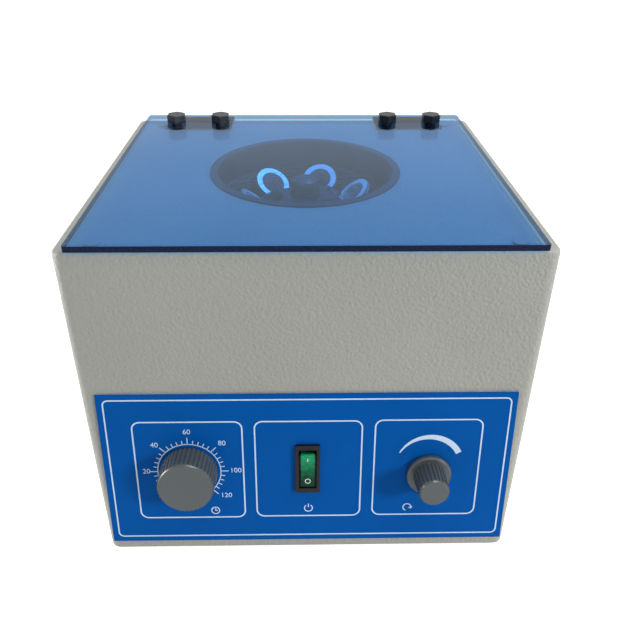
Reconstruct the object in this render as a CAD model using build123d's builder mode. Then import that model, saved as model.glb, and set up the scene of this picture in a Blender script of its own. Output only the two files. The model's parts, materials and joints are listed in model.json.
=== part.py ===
from build123d import *
import os
from math import asin, cos, radians, sin, tan

# Tabletop centrifuge with a hinged clear lid, millimetres, +Z up, front towards -Y.
# The case stands on four feet at Z = 0 and the origin is under the middle of the whole part.

# Case: it stands round the bowl, the sides draw in towards the base and the front leans forward there
bowl_front_gap = 7.7
bowl_back_gap = 3.1
bowl_side_gap = 20.9
case_height = 187.0
side_lean = 3.4
front_lean = 11.0
case_wall = 2.0
case_corner_radius = 6.5
case_top_round = 2.0
case_seam_margin = 1.5
foot_height = 12.0

# Base tray
tray_thickness = 1.5
tray_flange_height = 16.0
tray_clearance = 0.4
foot_diameter = 24.0
foot_inset = 24.0
foot_screw_head_diameter = 9.5
foot_taper = 8.0

# Fasteners
screw_diameter = 4.0
screw_head_diameter = 7.6
screw_head_height = 2.4
screw_length = 8.0
screw_clearance = 0.1
case_screw_rise = 8.0
stud_diameter = 5.0
stud_nut_flats = 8.0
stud_nut_height = 4.0
stud_end_length = 1.0

# Lid
lid_side_inset = 8.4
lid_back_inset = 4.6
lid_thickness = 4.0
lid_front_radius = 1.0
lid_back_radius = 3.0
lid_gap = 1.5
lid_front_overhang = 1.8
bumper_diameter = 8.0
bumper_inset = 12.0
bumper_clearance = 0.2

# Lid hinges and bolts
hinge_from_side = 50.8
hinge_width = 52.0
hinge_leaf_reach = 23.0
hinge_leaf_thickness = 1.2
hinge_leaf_drop = 26.0
hinge_barrel_diameter = 6.0
hinge_pin_diameter = 3.0
hinge_pin_clearance = 0.05
hinge_gap = 0.3
hinge_knuckles = 5
bolt_spacing = 34.8
bolt_back_distance = 17.5
bolt_diameter = 8.0
bolt_head_flats = 13.0
bolt_head_height = 5.5
hinge_screw_spacing = 30.0
hinge_screw_drop = 17.0

# Rotor chamber
collar_flange_diameter = 127.5
collar_flange_thickness = 1.0
collar_skirt_diameter = 122.0
collar_wall = 2.5
collar_depth = 18.0
collar_clearance = 0.3
bowl_inner_diameter = 206.0
bowl_depth = 101.0
bowl_wall = 1.5
bowl_rim_width = 7.0
bowl_floor_radius = 14.0
bowl_hole_diameter = 31.6
bowl_stud_count = 6
bowl_stud_diameter = 3.0
bowl_nut_flats = 5.5
bowl_nut_height = 2.4

# Rotor
crest_below_deck = 17.0
hub_top_diameter = 44.0
hub_rim_diameter = 104.0
hub_rim_drop = 20.0
hub_rim_thickness = 6.0
hub_boss_diameter = 28.0
hub_boss_height = 42.0
hub_web_drop = 32.0
cup_count = 6
cup_angle = 38.0
cup_mouth_radius = 34.0
cup_mouth_drop = 2.0
cup_length = 86.0
cup_outer_diameter = 20.0
cup_bore_diameter = 17.2
cup_bore_depth = 75.0
cup_lip_diameter = 25.0
cup_lip_thickness = 2.5
cup_boss_diameter = 26.0
cup_boss_length = 26.0
cup_boss_clearance = 0.5
cup_fit = 0.05
cushion_diameter = 16.6
cushion_thickness = 3.0
cushion_clearance = 0.05
rotor_park_angle = 12.0
rotor_nut_flats = 17.0
rotor_nut_height = 8.0
rotor_nut_dome = 3.0
rotor_nut_cap = 1.0
rotor_washer_diameter = 21.0
rotor_washer_thickness = 2.0
drive_collar_diameter = 18.0
drive_collar_height = 12.0

# Motor
mount_diameter = 20.0
mount_height = 14.0
mount_spacing = 92.0
motor_plate_size = 116.0
motor_plate_thickness = 3.0
motor_plate_corner_radius = 8.0
motor_diameter = 74.0
motor_wall = 3.0
lower_bell_height = 20.0
can_height = 30.0
upper_bell_height = 11.5
bearing_outer_diameter = 22.0
bearing_width = 7.0
bearing_seat_clearance = 0.03
bearing_boss_wall = 3.0
shaft_diameter = 8.0
shaft_clearance = 0.03
shaft_hole_diameter = 10.0
neck_diameter = 20.0
neck_height = 6.0
seal_clearance = 0.2
seal_flange_diameter = 40.0
seal_flange_thickness = 1.5
magnet_thickness = 8.0
magnet_arc = 130.0
armature_diameter = 46.0
armature_height = 20.0
armature_slot_count = 12
armature_slot_depth = 3.0
armature_slot_width = 2.4
winding_diameter = 38.0
winding_height = 3.4
commutator_diameter = 20.0
commutator_height = 9.0
commutator_gap = 0.5
brush_size = 5.0
brush_gap = 0.3
brush_holder_size = 9.0
brush_holder_lip = 1.0
brush_spring_length = 4.0
brush_cap_diameter = 8.0
brush_cap_height = 3.0
motor_screw_radius = 31.0
motor_screw_count = 4

# Front panel, measured on the leaning front plane
panel_side_margin = 3.3
panel_height = 102.3
panel_top_drop = 82.5
panel_thickness = 1.2
panel_hole_clearance = 0.2
knob_gap = 0.8

# Timer
timer_from_side = 50.0
timer_body_size = 46.0
timer_body_depth = 34.0
timer_body_corner_radius = 4.0
timer_bush_diameter = 10.0
timer_nut_flats = 14.0
timer_nut_height = 2.5
knob_shaft_diameter = 6.0
knob_shaft_clearance = 0.05
knob_shaft_reach = 10.0
timer_knob_diameter = 33.6
timer_face_diameter = 32.4
timer_knob_height = 16.0
timer_flutes = 40
timer_flute_depth = 0.5
timer_cavity_margin = 3.0
knob_bevel = 1.0
knob_bevel_angle = 30.0
knob_face_thickness = 3.0
shaft_end_gap = 1.0
knob_cavity_depth = 4.0

# Speed control
speed_from_side = 48.0
speed_drop = 3.0
speed_body_diameter = 25.0
speed_body_depth = 12.0
speed_bush_diameter = 8.0
speed_nut_flats = 11.0
speed_nut_height = 2.0
speed_skirt_diameter = 26.3
speed_skirt_height = 3.0
speed_grip_diameter = 19.0
speed_face_diameter = 17.6
speed_knob_height = 18.5
speed_flutes = 24
speed_flute_depth = 0.6
speed_cavity_margin = 1.5

# Power switch
switch_raise = 1.6
switch_bezel_width = 14.4
switch_bezel_height = 32.9
switch_bezel_thickness = 2.0
switch_bezel_corner_radius = 1.0
switch_body_width = 12.6
switch_body_height = 28.6
switch_body_depth = 22.0
switch_well_width = 10.4
switch_well_height = 26.4
switch_well_depth = 12.0
rocker_width = 9.8
rocker_length = 24.4
rocker_rise = 3.2
rocker_depth = 6.0
rocker_pivot_depth = 1.0
rocker_pin_diameter = 2.4
rocker_pin_clearance = 0.05
rocker_pin_cover = 0.4
rocker_pin_end_gap = 0.2
rocker_foot_inset = 3.0
rocker_tilt = 7.0
blade_width = 4.8
blade_thickness = 0.8
blade_length = 9.0
blade_spacing = 8.0

# Control board
board_width = 96.0
board_depth = 52.0
board_thickness = 1.6
board_from_front = 22.0
standoff_height = 8.0
standoff_diameter = 6.0
standoff_inset = 5.0
heat_sink_width = 30.0
heat_sink_height = 26.0
heat_sink_fins = 6
heat_sink_fin_depth = 10.0
heat_sink_base = 3.0
heat_sink_fin_thickness = 1.5
capacitor_diameter = 13.0
capacitor_height = 22.0
capacitor_spacing = 18.0
terminal_poles = 4
terminal_pitch = 7.0
terminal_depth = 9.0
terminal_height = 11.0
terminal_screw_diameter = 3.5
terminal_screw_depth = 3.6

# Back wall fittings
inlet_from_side = 62.4
inlet_rise = 34.0
inlet_flange_width = 48.0
inlet_flange_height = 24.0
inlet_flange_thickness = 3.0
inlet_flange_corner_radius = 4.0
inlet_body_width = 27.0
inlet_body_height = 19.6
inlet_body_depth = 22.0
inlet_socket_width = 23.6
inlet_socket_height = 15.6
inlet_socket_depth = 16.0
inlet_socket_corner_radius = 2.5
inlet_screw_spacing = 40.0
inlet_blade_width = 4.0
inlet_blade_thickness = 2.0
inlet_blade_length = 13.0
inlet_blade_spacing = 7.0
earth_stud_offset = 24.0
earth_stud_from_back = 42.0
fuse_from_inlet = 50.0
fuse_bush_diameter = 12.0
fuse_body_length = 30.0
fuse_flange_diameter = 17.0
fuse_flange_thickness = 2.0
fuse_cap_diameter = 13.0
fuse_cap_height = 9.0
fuse_slot_width = 1.6
fuse_slot_depth = 1.5
fuse_nut_flats = 15.0
fuse_nut_height = 3.0
vent_slot_width = 3.0
vent_slot_height = 36.0
vent_slot_count = 9
vent_slot_pitch = 8.0
vent_from_side = 72.4
vent_rise = 42.0
cut_clearance = 0.2
edge_chamfer = 0.5

# Heights worked out from the driving sizes
case_bottom_z = foot_height
deck_z = case_bottom_z + case_height
deck_under_z = deck_z - case_wall
lid_bottom_z = deck_z + lid_gap
lid_top_z = lid_bottom_z + lid_thickness
tray_top_z = case_bottom_z + tray_thickness
motor_plate_z = tray_top_z + mount_height
motor_bottom_z = motor_plate_z + motor_plate_thickness
can_bottom_z = motor_bottom_z + lower_bell_height
upper_bell_z = can_bottom_z + can_height
motor_top_z = upper_bell_z + upper_bell_height
crest_z = deck_z - crest_below_deck
bowl_floor_z = deck_under_z - bowl_depth

# Widths and depths of the case, worked out from the bowl
bowl_radius = bowl_inner_diameter / 2
bowl_outer_radius = bowl_radius + bowl_wall
bowl_rim_radius = bowl_outer_radius + bowl_rim_width
bowl_stud_radius = bowl_outer_radius + bowl_rim_width / 2
chamber_from_front = case_wall + bowl_front_gap + bowl_rim_radius
case_top_depth = chamber_from_front + bowl_rim_radius + bowl_back_gap + case_wall
case_top_half_width = bowl_rim_radius + bowl_side_gap + case_wall
lid_width = 2 * (case_top_half_width - lid_side_inset)
lid_depth = case_top_depth + lid_front_overhang - lid_back_inset
hinge_x = case_top_half_width - hinge_from_side
inlet_x = inlet_from_side - case_top_half_width
fuse_x = inlet_x + fuse_from_inlet
vent_x = case_top_half_width - vent_from_side

# Places from front to back: the origin is half way between the speed knob's face and the fuse cap's end
lean_cos = cos(radians(front_lean))
lean_sin = sin(radians(front_lean))
panel_centre_drop = panel_top_drop + panel_height / 2
speed_knob_front = panel_thickness + knob_gap + speed_knob_height
front_reach = (
    (panel_centre_drop + speed_drop + speed_face_diameter / 2) * lean_sin + speed_knob_front * lean_cos
)
back_reach = fuse_flange_thickness + fuse_cap_height
case_back_y = (case_top_depth + front_reach - back_reach) / 2
front_top_y = case_back_y - case_top_depth
chamber_y = front_top_y + chamber_from_front
lid_front_y = front_top_y - lid_front_overhang
lid_back_y = lid_front_y + lid_depth
hinge_axis_y = case_back_y + hinge_barrel_diameter / 2 + hinge_gap
hinge_axis_z = lid_bottom_z - hinge_barrel_diameter / 2
bolt_y = lid_back_y - bolt_back_distance


def front_y(z):
    """Front face of the case at height z."""
    return front_top_y - (deck_z - z) * tan(radians(front_lean))


def half_width(z):
    """Half the width of the case at height z."""
    return case_top_half_width - (deck_z - z) * tan(radians(side_lean))


def case_block(low_z, high_z, inset, corner_radius):
    """A block that follows the leaning case walls, set in from them by inset."""
    front_inset = inset / lean_cos
    side_inset = inset / cos(radians(side_lean))
    back = case_back_y - inset
    low_side = half_width(low_z) - side_inset
    high_side = half_width(high_z) - side_inset
    with BuildPart() as block:
        with BuildSketch(Plane.YZ):
            with BuildLine():
                Polyline(
                    (front_y(low_z) + front_inset, low_z),
                    (back, low_z),
                    (back, high_z),
                    (front_y(high_z) + front_inset, high_z),
                    close=True,
                )
            make_face()
        extrude(amount=case_top_half_width, both=True)
        with BuildSketch(Plane.XZ):
            with BuildLine():
                Polyline(
                    (-low_side, low_z),
                    (low_side, low_z),
                    (high_side, high_z),
                    (-high_side, high_z),
                    close=True,
                )
            make_face()
        extrude(amount=case_top_depth, both=True, mode=Mode.INTERSECT)
        leaning = block.edges().filter_by(lambda edge: abs(edge.tangent_at(0.5).Z) > 0.5)
        fillet(leaning, corner_radius)
    return block.part


def hexagon_radius(flats):
    """Radius to the corners of a hexagon of the given width across flats."""
    return flats / 2 / cos(radians(30))


def fluted_circle(radius, flutes, depth):
    """A circle with small round flutes cut in its edge, drawn in the open sketch."""
    Circle(radius)
    with PolarLocations(radius, flutes):
        Circle(depth, mode=Mode.SUBTRACT)


def save(builder, name):
    """Label a finished piece and write it."""
    builder.part.label = name
    export_step(builder.part, "parts/" + name + ".step")


os.makedirs("parts", exist_ok=True)

panel_plane = Plane(
    origin=(0, front_top_y - panel_centre_drop * lean_sin, deck_z - panel_centre_drop * lean_cos),
    x_dir=(1, 0, 0),
    z_dir=(0, -lean_cos, lean_sin),
)
back_plane = Plane(origin=(0, case_back_y, case_bottom_z), x_dir=(-1, 0, 0), z_dir=(0, 1, 0))
chamber_plane = Plane(origin=(0, chamber_y, 0), x_dir=(1, 0, 0), z_dir=(0, 0, 1))
chamber_section = Plane(origin=(0, chamber_y, 0), x_dir=(1, 0, 0), z_dir=(0, -1, 0))
panel_axis = Axis(panel_plane.origin, panel_plane.z_dir)
chamber_axis = Axis((0, chamber_y, 0), (0, 0, 1))

panel_width = 2 * (half_width(case_bottom_z) - panel_side_margin)
timer_at = (timer_from_side - panel_width / 2, 0)
speed_at = (panel_width / 2 - speed_from_side, -speed_drop)
switch_at = (0, switch_raise)
inlet_at = (-inlet_x, inlet_rise)
fuse_at = (-fuse_x, inlet_rise)
vent_at = (-vent_x, vent_rise)
inlet_screws_at = [(-inlet_x + side * inlet_screw_spacing / 2, inlet_rise) for side in (-1, 1)]
hinge_screw_rise = hinge_axis_z - hinge_screw_drop - case_bottom_z
hinge_screws_at = [
    (side * hinge_x + step * hinge_screw_spacing / 2, hinge_screw_rise)
    for side in (-1, 1)
    for step in (-1, 1)
]
bolts_at = [(side * hinge_x + step * bolt_spacing / 2, bolt_y) for side in (-1, 1) for step in (-1, 1)]
foot_x = half_width(case_bottom_z) - foot_inset
foot_front_y = front_y(case_bottom_z) + foot_inset
foot_back_y = case_back_y - foot_inset
feet_at = [(side * foot_x, y) for side in (-1, 1) for y in (foot_front_y, foot_back_y)]
case_screw_z = case_bottom_z + case_screw_rise
case_screw_hole = screw_diameter + 2 * screw_clearance
side_screw_ys = (foot_front_y + foot_inset, foot_back_y - foot_inset)
side_screw_planes = [
    Plane(
        origin=(side * half_width(case_screw_z), y, case_screw_z),
        x_dir=(0, 1, 0),
        z_dir=(side * cos(radians(side_lean)), 0, -sin(radians(side_lean))),
    )
    for side in (-1, 1)
    for y in side_screw_ys
]

# Case: shaped as one shell, then parted at its welds into a deck, a front, a back and two sides
case_cavity = case_block(case_bottom_z, deck_under_z, case_wall, case_corner_radius - case_wall)
collar_hole_diameter = collar_skirt_diameter + 2 * collar_clearance
seam_inset = case_corner_radius + case_seam_margin
top_seam = Plane.XY.offset(deck_z - case_top_round - case_seam_margin)
front_seam = panel_plane.offset(-seam_inset)
back_seam = back_plane.offset(-seam_inset)

with BuildPart() as case_shell:
    add(case_block(case_bottom_z, deck_z, 0, case_corner_radius))
    fillet(case_shell.faces().sort_by(Axis.Z)[-1].edges(), case_top_round)
    add(case_cavity, mode=Mode.SUBTRACT)

# The deck has the opening for the collar, and carries weld studs for the bowl
with BuildPart() as case_deck:
    add(case_shell.part)
    split(bisect_by=top_seam, keep=Keep.TOP)
    with BuildSketch(chamber_plane.offset(deck_under_z - case_wall)):
        Circle(collar_hole_diameter / 2)
    extrude(amount=3 * case_wall, mode=Mode.SUBTRACT)
    with BuildSketch(chamber_plane.offset(deck_under_z)):
        with PolarLocations(bowl_stud_radius, bowl_stud_count):
            Circle(bowl_stud_diameter / 2)
    extrude(amount=-(bowl_wall + 2 * bowl_nut_height))
save(case_deck, "case_deck")

with BuildPart() as case_front:
    add(case_shell.part)
    split(bisect_by=top_seam, keep=Keep.BOTTOM)
    split(bisect_by=front_seam, keep=Keep.TOP)
    with BuildSketch(panel_plane.offset(-2 * case_wall)):
        with Locations(timer_at):
            Circle(timer_bush_diameter / 2 + panel_hole_clearance)
        with Locations(speed_at):
            Circle(speed_bush_diameter / 2 + panel_hole_clearance)
        with Locations(switch_at):
            Rectangle(switch_body_width + 2 * cut_clearance, switch_body_height + 2 * cut_clearance)
    extrude(amount=3 * case_wall, mode=Mode.SUBTRACT)
save(case_front, "case_front")

with BuildPart() as case_back:
    add(case_shell.part)
    split(bisect_by=top_seam, keep=Keep.BOTTOM)
    split(bisect_by=back_seam, keep=Keep.TOP)
    with BuildSketch(back_plane.offset(-2 * case_wall)):
        with Locations(inlet_at):
            Rectangle(inlet_body_width + 2 * cut_clearance, inlet_body_height + 2 * cut_clearance)
        with Locations(fuse_at):
            Circle(fuse_bush_diameter / 2 + cut_clearance)
        with Locations(*inlet_screws_at):
            Circle(case_screw_hole / 2)
        with Locations(*hinge_screws_at):
            Circle(case_screw_hole / 2)
        with Locations(vent_at):
            with GridLocations(vent_slot_pitch, 0, vent_slot_count, 1):
                SlotOverall(vent_slot_height, vent_slot_width, rotation=90)
    extrude(amount=3 * case_wall, mode=Mode.SUBTRACT)
save(case_back, "case_back")

with BuildPart() as case_sides:
    add(case_shell.part)
    split(bisect_by=top_seam, keep=Keep.BOTTOM)
    split(bisect_by=front_seam, keep=Keep.BOTTOM)
    split(bisect_by=back_seam, keep=Keep.BOTTOM)
    with BuildSketch(*[plane.offset(-2 * case_wall) for plane in side_screw_planes]):
        Circle(case_screw_hole / 2)
    extrude(amount=3 * case_wall, mode=Mode.SUBTRACT)
save(case_sides, "case_sides")

# Base tray with upturned flanges, holes for feet, mounts and the motor's cooling air
tray_inset = case_wall + tray_clearance
tray_flange_z = case_bottom_z + tray_flange_height
tray_outer = case_block(case_bottom_z, tray_flange_z, tray_inset, case_corner_radius - tray_inset)
tray_hollow = case_block(
    tray_top_z,
    tray_flange_z,
    tray_inset + tray_thickness,
    case_corner_radius - tray_inset - tray_thickness,
)
board_y = front_y(tray_top_z) + board_from_front + board_depth / 2
standoffs_at = [
    (x, board_y + y)
    for x in (-board_width / 2 + standoff_inset, board_width / 2 - standoff_inset)
    for y in (-board_depth / 2 + standoff_inset, board_depth / 2 - standoff_inset)
]
mounts_at = [
    (x, chamber_y + y)
    for x in (-mount_spacing / 2, mount_spacing / 2)
    for y in (-mount_spacing / 2, mount_spacing / 2)
]
earth_at = (inlet_x + earth_stud_offset, case_back_y - earth_stud_from_back)

with BuildPart() as base_tray:
    add(tray_outer)
    add(tray_hollow, mode=Mode.SUBTRACT)
    with BuildSketch(Plane.XY.offset(case_bottom_z - tray_thickness)):
        with Locations(*feet_at):
            Circle(stud_diameter / 2 + screw_clearance)
        with Locations(*standoffs_at):
            Circle(screw_diameter / 2 + screw_clearance)
        with Locations(*mounts_at):
            Circle(stud_diameter / 2 + screw_clearance)
        with Locations((0, chamber_y)):
            with GridLocations(0, vent_slot_pitch, 1, vent_slot_count):
                SlotOverall(vent_slot_height, vent_slot_width)
    extrude(amount=3 * tray_thickness, mode=Mode.SUBTRACT)
    for plane in side_screw_planes:
        with BuildSketch(plane.offset(-screw_length)):
            Circle(screw_diameter / 2 + screw_clearance)
        extrude(amount=screw_length, mode=Mode.SUBTRACT)
    with BuildSketch(Plane.XY.offset(case_bottom_z)):
        with Locations(earth_at):
            Circle(stud_diameter / 2)
    extrude(amount=tray_thickness + 3 * stud_nut_height)
save(base_tray, "base_tray")

# Pan head screws, all alike: four in the case sides, four in the hinges and two in the mains inlet
hinge_screw_planes = [
    Plane(origin=back_plane.offset(hinge_leaf_thickness).from_local_coords((x, y, 0)), z_dir=(0, 1, 0))
    for x, y in hinge_screws_at
]
inlet_screw_planes = [
    Plane(origin=back_plane.offset(inlet_flange_thickness).from_local_coords((x, y, 0)), z_dir=(0, 1, 0))
    for x, y in inlet_screws_at
]

with BuildPart() as case_screws:
    for plane in side_screw_planes + hinge_screw_planes + inlet_screw_planes:
        with BuildSketch(plane):
            Circle(screw_head_diameter / 2)
        extrude(amount=screw_head_height)
        with BuildSketch(plane):
            Circle(screw_diameter / 2)
        extrude(amount=-screw_length)
save(case_screws, "case_screws")

# Feet: tapered rubber, screwed to the tray through a stepped hole
foot_step_z = foot_height / 2

with BuildPart() as rubber_feet:
    for x, y in feet_at:
        with BuildSketch(Plane.XY.offset(foot_height)):
            with Locations((x, y)):
                Circle(foot_diameter / 2)
        extrude(amount=-foot_height, taper=foot_taper)
        with BuildSketch(Plane.XY):
            with Locations((x, y)):
                Circle(foot_screw_head_diameter / 2 + cut_clearance)
        extrude(amount=foot_step_z, mode=Mode.SUBTRACT)
        with BuildSketch(Plane.XY):
            with Locations((x, y)):
                Circle(stud_diameter / 2 + screw_clearance)
        extrude(amount=foot_height, mode=Mode.SUBTRACT)
save(rubber_feet, "rubber_feet")

with BuildPart() as foot_screws:
    for x, y in feet_at:
        with BuildSketch(Plane.XY.offset(foot_step_z)):
            with Locations((x, y)):
                Circle(foot_screw_head_diameter / 2)
        extrude(amount=-screw_head_height)
        with BuildSketch(Plane.XY.offset(foot_step_z)):
            with Locations((x, y)):
                Circle(stud_diameter / 2)
        extrude(amount=foot_step_z + tray_thickness + stud_nut_height)
save(foot_screws, "foot_screws")

# Nuts, all alike, on the foot screws, the motor mounts' studs and the earth stud
mount_nut_zs = (case_bottom_z - stud_nut_height, motor_bottom_z)

with BuildPart() as base_nuts:
    with BuildSketch(Plane.XY.offset(tray_top_z)):
        with Locations(*feet_at, earth_at):
            RegularPolygon(hexagon_radius(stud_nut_flats), 6)
            Circle(stud_diameter / 2, mode=Mode.SUBTRACT)
    extrude(amount=stud_nut_height)
    for start_z in mount_nut_zs:
        with BuildSketch(Plane.XY.offset(start_z)):
            with Locations(*mounts_at):
                RegularPolygon(hexagon_radius(stud_nut_flats), 6)
                Circle(stud_diameter / 2, mode=Mode.SUBTRACT)
        extrude(amount=stud_nut_height)
save(base_nuts, "base_nuts")

# Collar round the chamber opening: a flange on the deck and a skirt down through it
collar_inner_radius = collar_skirt_diameter / 2 - collar_wall

with BuildPart() as deck_collar:
    with BuildSketch(chamber_plane.offset(deck_z)):
        Circle(collar_flange_diameter / 2)
        Circle(collar_inner_radius, mode=Mode.SUBTRACT)
    extrude(amount=collar_flange_thickness)
    with BuildSketch(chamber_plane.offset(deck_z)):
        Circle(collar_skirt_diameter / 2)
        Circle(collar_inner_radius, mode=Mode.SUBTRACT)
    extrude(amount=-collar_depth)
save(deck_collar, "deck_collar")

# Bowl: spun metal, rim under the deck, hung on welded studs
with BuildPart() as chamber_bowl:
    with BuildSketch(chamber_plane.offset(bowl_floor_z)):
        Circle(bowl_outer_radius)
    extrude(amount=bowl_depth)
    fillet(chamber_bowl.faces().sort_by(Axis.Z)[0].edges(), bowl_floor_radius)
    with BuildSketch(chamber_plane.offset(deck_under_z - bowl_wall)):
        Circle(bowl_rim_radius)
    extrude(amount=bowl_wall)
    with BuildSketch(chamber_section):
        with BuildLine():
            floor_top = bowl_floor_z + bowl_wall
            inner_round = bowl_floor_radius - bowl_wall
            Line((0, floor_top), (bowl_radius - inner_round, floor_top))
            RadiusArc(
                (bowl_radius - inner_round, floor_top), (bowl_radius, floor_top + inner_round), -inner_round
            )
            Line((bowl_radius, floor_top + inner_round), (bowl_radius, deck_z))
            Line((bowl_radius, deck_z), (0, deck_z))
            Line((0, deck_z), (0, floor_top))
        make_face()
    revolve(axis=chamber_axis, mode=Mode.SUBTRACT)
    with BuildSketch(chamber_plane.offset(bowl_floor_z - bowl_wall)):
        Circle(bowl_hole_diameter / 2)
    extrude(amount=3 * bowl_wall, mode=Mode.SUBTRACT)
    with BuildSketch(chamber_plane.offset(deck_under_z - 2 * bowl_wall)):
        with PolarLocations(bowl_stud_radius, bowl_stud_count):
            Circle(bowl_stud_diameter / 2 + screw_clearance)
    extrude(amount=3 * bowl_wall, mode=Mode.SUBTRACT)
save(chamber_bowl, "chamber_bowl")

with BuildPart() as bowl_nuts:
    with BuildSketch(chamber_plane.offset(deck_under_z - bowl_wall)):
        with PolarLocations(bowl_stud_radius, bowl_stud_count):
            RegularPolygon(hexagon_radius(bowl_nut_flats), 6)
            Circle(bowl_stud_diameter / 2, mode=Mode.SUBTRACT)
    extrude(amount=-bowl_nut_height)
save(bowl_nuts, "bowl_nuts")

# Lid: one clear plate with four bolt holes
with BuildPart() as lid:
    with BuildSketch(Plane.XY.offset(lid_bottom_z)) as lid_outline:
        with Locations((0, lid_front_y + lid_depth / 2)):
            Rectangle(lid_width, lid_depth)
        fillet(lid_outline.vertices().group_by(Axis.Y)[0], lid_front_radius)
        fillet(lid_outline.vertices().group_by(Axis.Y)[-1], lid_back_radius)
        with Locations(*bolts_at):
            Circle(bolt_diameter / 2 + screw_clearance, mode=Mode.SUBTRACT)
    extrude(amount=lid_thickness)
    chamfer(lid.faces().sort_by(Axis.Z)[-1].outer_wire().edges(), edge_chamfer)
save(lid, "lid")

with BuildPart() as lid_bumpers:
    with BuildSketch(Plane.XY.offset(deck_z)):
        with Locations((0, lid_front_y + lid_depth / 2)):
            with GridLocations(lid_width - 2 * bumper_inset, lid_depth - 2 * bumper_inset, 2, 2):
                Circle(bumper_diameter / 2)
    extrude(amount=lid_gap - bumper_clearance)
save(lid_bumpers, "lid_bumpers")

with BuildPart() as lid_bolts:
    with BuildSketch(Plane.XY.offset(lid_top_z)):
        with Locations(*bolts_at):
            RegularPolygon(hexagon_radius(bolt_head_flats), 6, rotation=30)
    extrude(amount=bolt_head_height)
    chamfer(lid_bolts.faces().filter_by(Axis.Z).group_by(Axis.Z)[-1].edges(), edge_chamfer)
    with BuildSketch(Plane.XY.offset(lid_top_z)):
        with Locations(*bolts_at):
            Circle(bolt_diameter / 2)
    extrude(amount=-(lid_thickness + hinge_leaf_thickness))
save(lid_bolts, "lid_bolts")

# Hinges: the knuckles of the two leaves alternate along one pin
knuckle_length = hinge_width / hinge_knuckles
barrel_radius = hinge_barrel_diameter / 2
hinge_hole_radius = hinge_pin_diameter / 2 + hinge_pin_clearance
knuckle_xs = [-hinge_width / 2 + (index + 0.5) * knuckle_length for index in range(hinge_knuckles)]


def hinge_plane(x):
    """The plane square to the hinge axis at x."""
    return Plane(origin=(x, hinge_axis_y, hinge_axis_z), x_dir=(0, 1, 0), z_dir=(1, 0, 0))


def knuckles(centre_x, xs):
    """Barrel pieces of one leaf along the hinge axis."""
    length = knuckle_length - hinge_gap
    with BuildPart() as barrel:
        for x in xs:
            with BuildSketch(hinge_plane(centre_x + x - length / 2)):
                Circle(barrel_radius)
            extrude(amount=length)
    return barrel.part


def pin_bore(centre_x):
    """The hole for the hinge pin through every knuckle."""
    with BuildPart() as bore:
        with BuildSketch(hinge_plane(centre_x - hinge_width)):
            Circle(hinge_hole_radius)
        extrude(amount=2 * hinge_width)
    return bore.part


lid_knuckles = {side: knuckles(side * hinge_x, knuckle_xs[1::2]) for side in (-1, 1)}
case_knuckles = {side: knuckles(side * hinge_x, knuckle_xs[0::2]) for side in (-1, 1)}
pin_bores = {side: pin_bore(side * hinge_x) for side in (-1, 1)}
tab_length = knuckle_length - hinge_gap
leaf_front_y = lid_back_y - hinge_leaf_reach
leaf_back_y = hinge_axis_y - barrel_radius - hinge_gap

with BuildPart() as hinge_lid_leaves:
    for side in (-1, 1):
        with BuildSketch(Plane.XY.offset(lid_bottom_z - hinge_leaf_thickness)):
            with Locations((side * hinge_x, (leaf_front_y + leaf_back_y) / 2)):
                Rectangle(hinge_width, leaf_back_y - leaf_front_y)
            for x in knuckle_xs[1::2]:
                with Locations((side * hinge_x + x, (leaf_back_y + hinge_axis_y) / 2)):
                    Rectangle(tab_length, hinge_axis_y - leaf_back_y)
            with Locations(*bolts_at):
                Circle(bolt_diameter / 2, mode=Mode.SUBTRACT)
        extrude(amount=hinge_leaf_thickness)
    for side in (-1, 1):
        add(lid_knuckles[side])
        add(pin_bores[side], mode=Mode.SUBTRACT)
save(hinge_lid_leaves, "hinge_lid_leaves")

leaf_top_rise = hinge_axis_z - barrel_radius - hinge_gap - case_bottom_z
leaf_bottom_rise = hinge_axis_z - hinge_leaf_drop - case_bottom_z
axis_rise = hinge_axis_z - case_bottom_z

with BuildPart() as hinge_case_leaves:
    for side in (-1, 1):
        with BuildSketch(back_plane):
            with Locations((side * hinge_x, (leaf_top_rise + leaf_bottom_rise) / 2)):
                Rectangle(hinge_width, leaf_top_rise - leaf_bottom_rise)
            for x in knuckle_xs[0::2]:
                with Locations((side * hinge_x + x, (leaf_top_rise + axis_rise) / 2)):
                    Rectangle(tab_length, axis_rise - leaf_top_rise)
            with Locations(*hinge_screws_at):
                Circle(case_screw_hole / 2, mode=Mode.SUBTRACT)
        extrude(amount=hinge_leaf_thickness)
    for side in (-1, 1):
        add(case_knuckles[side])
        add(pin_bores[side], mode=Mode.SUBTRACT)
save(hinge_case_leaves, "hinge_case_leaves")

with BuildPart() as hinge_pins:
    for side in (-1, 1):
        with BuildSketch(hinge_plane(side * hinge_x - hinge_width / 2)):
            Circle(hinge_pin_diameter / 2)
        extrude(amount=hinge_width)
save(hinge_pins, "hinge_pins")

# Rotor: an angle head on the motor shaft, six slanted cups and a domed nut
cup_tilt = radians(cup_angle)
cup_mouth_z = crest_z - cup_mouth_drop
cup_planes = []
for index in range(cup_count):
    turn = radians(rotor_park_angle + index * 360 / cup_count)
    cup_planes.append(
        Plane(
            origin=(
                cup_mouth_radius * cos(turn),
                chamber_y + cup_mouth_radius * sin(turn),
                cup_mouth_z,
            ),
            x_dir=(-sin(turn), cos(turn), 0),
            z_dir=(-sin(cup_tilt) * cos(turn), -sin(cup_tilt) * sin(turn), cos(cup_tilt)),
        )
    )
shaft_radius = shaft_diameter / 2
hub_rim_z = crest_z - hub_rim_drop

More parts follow.
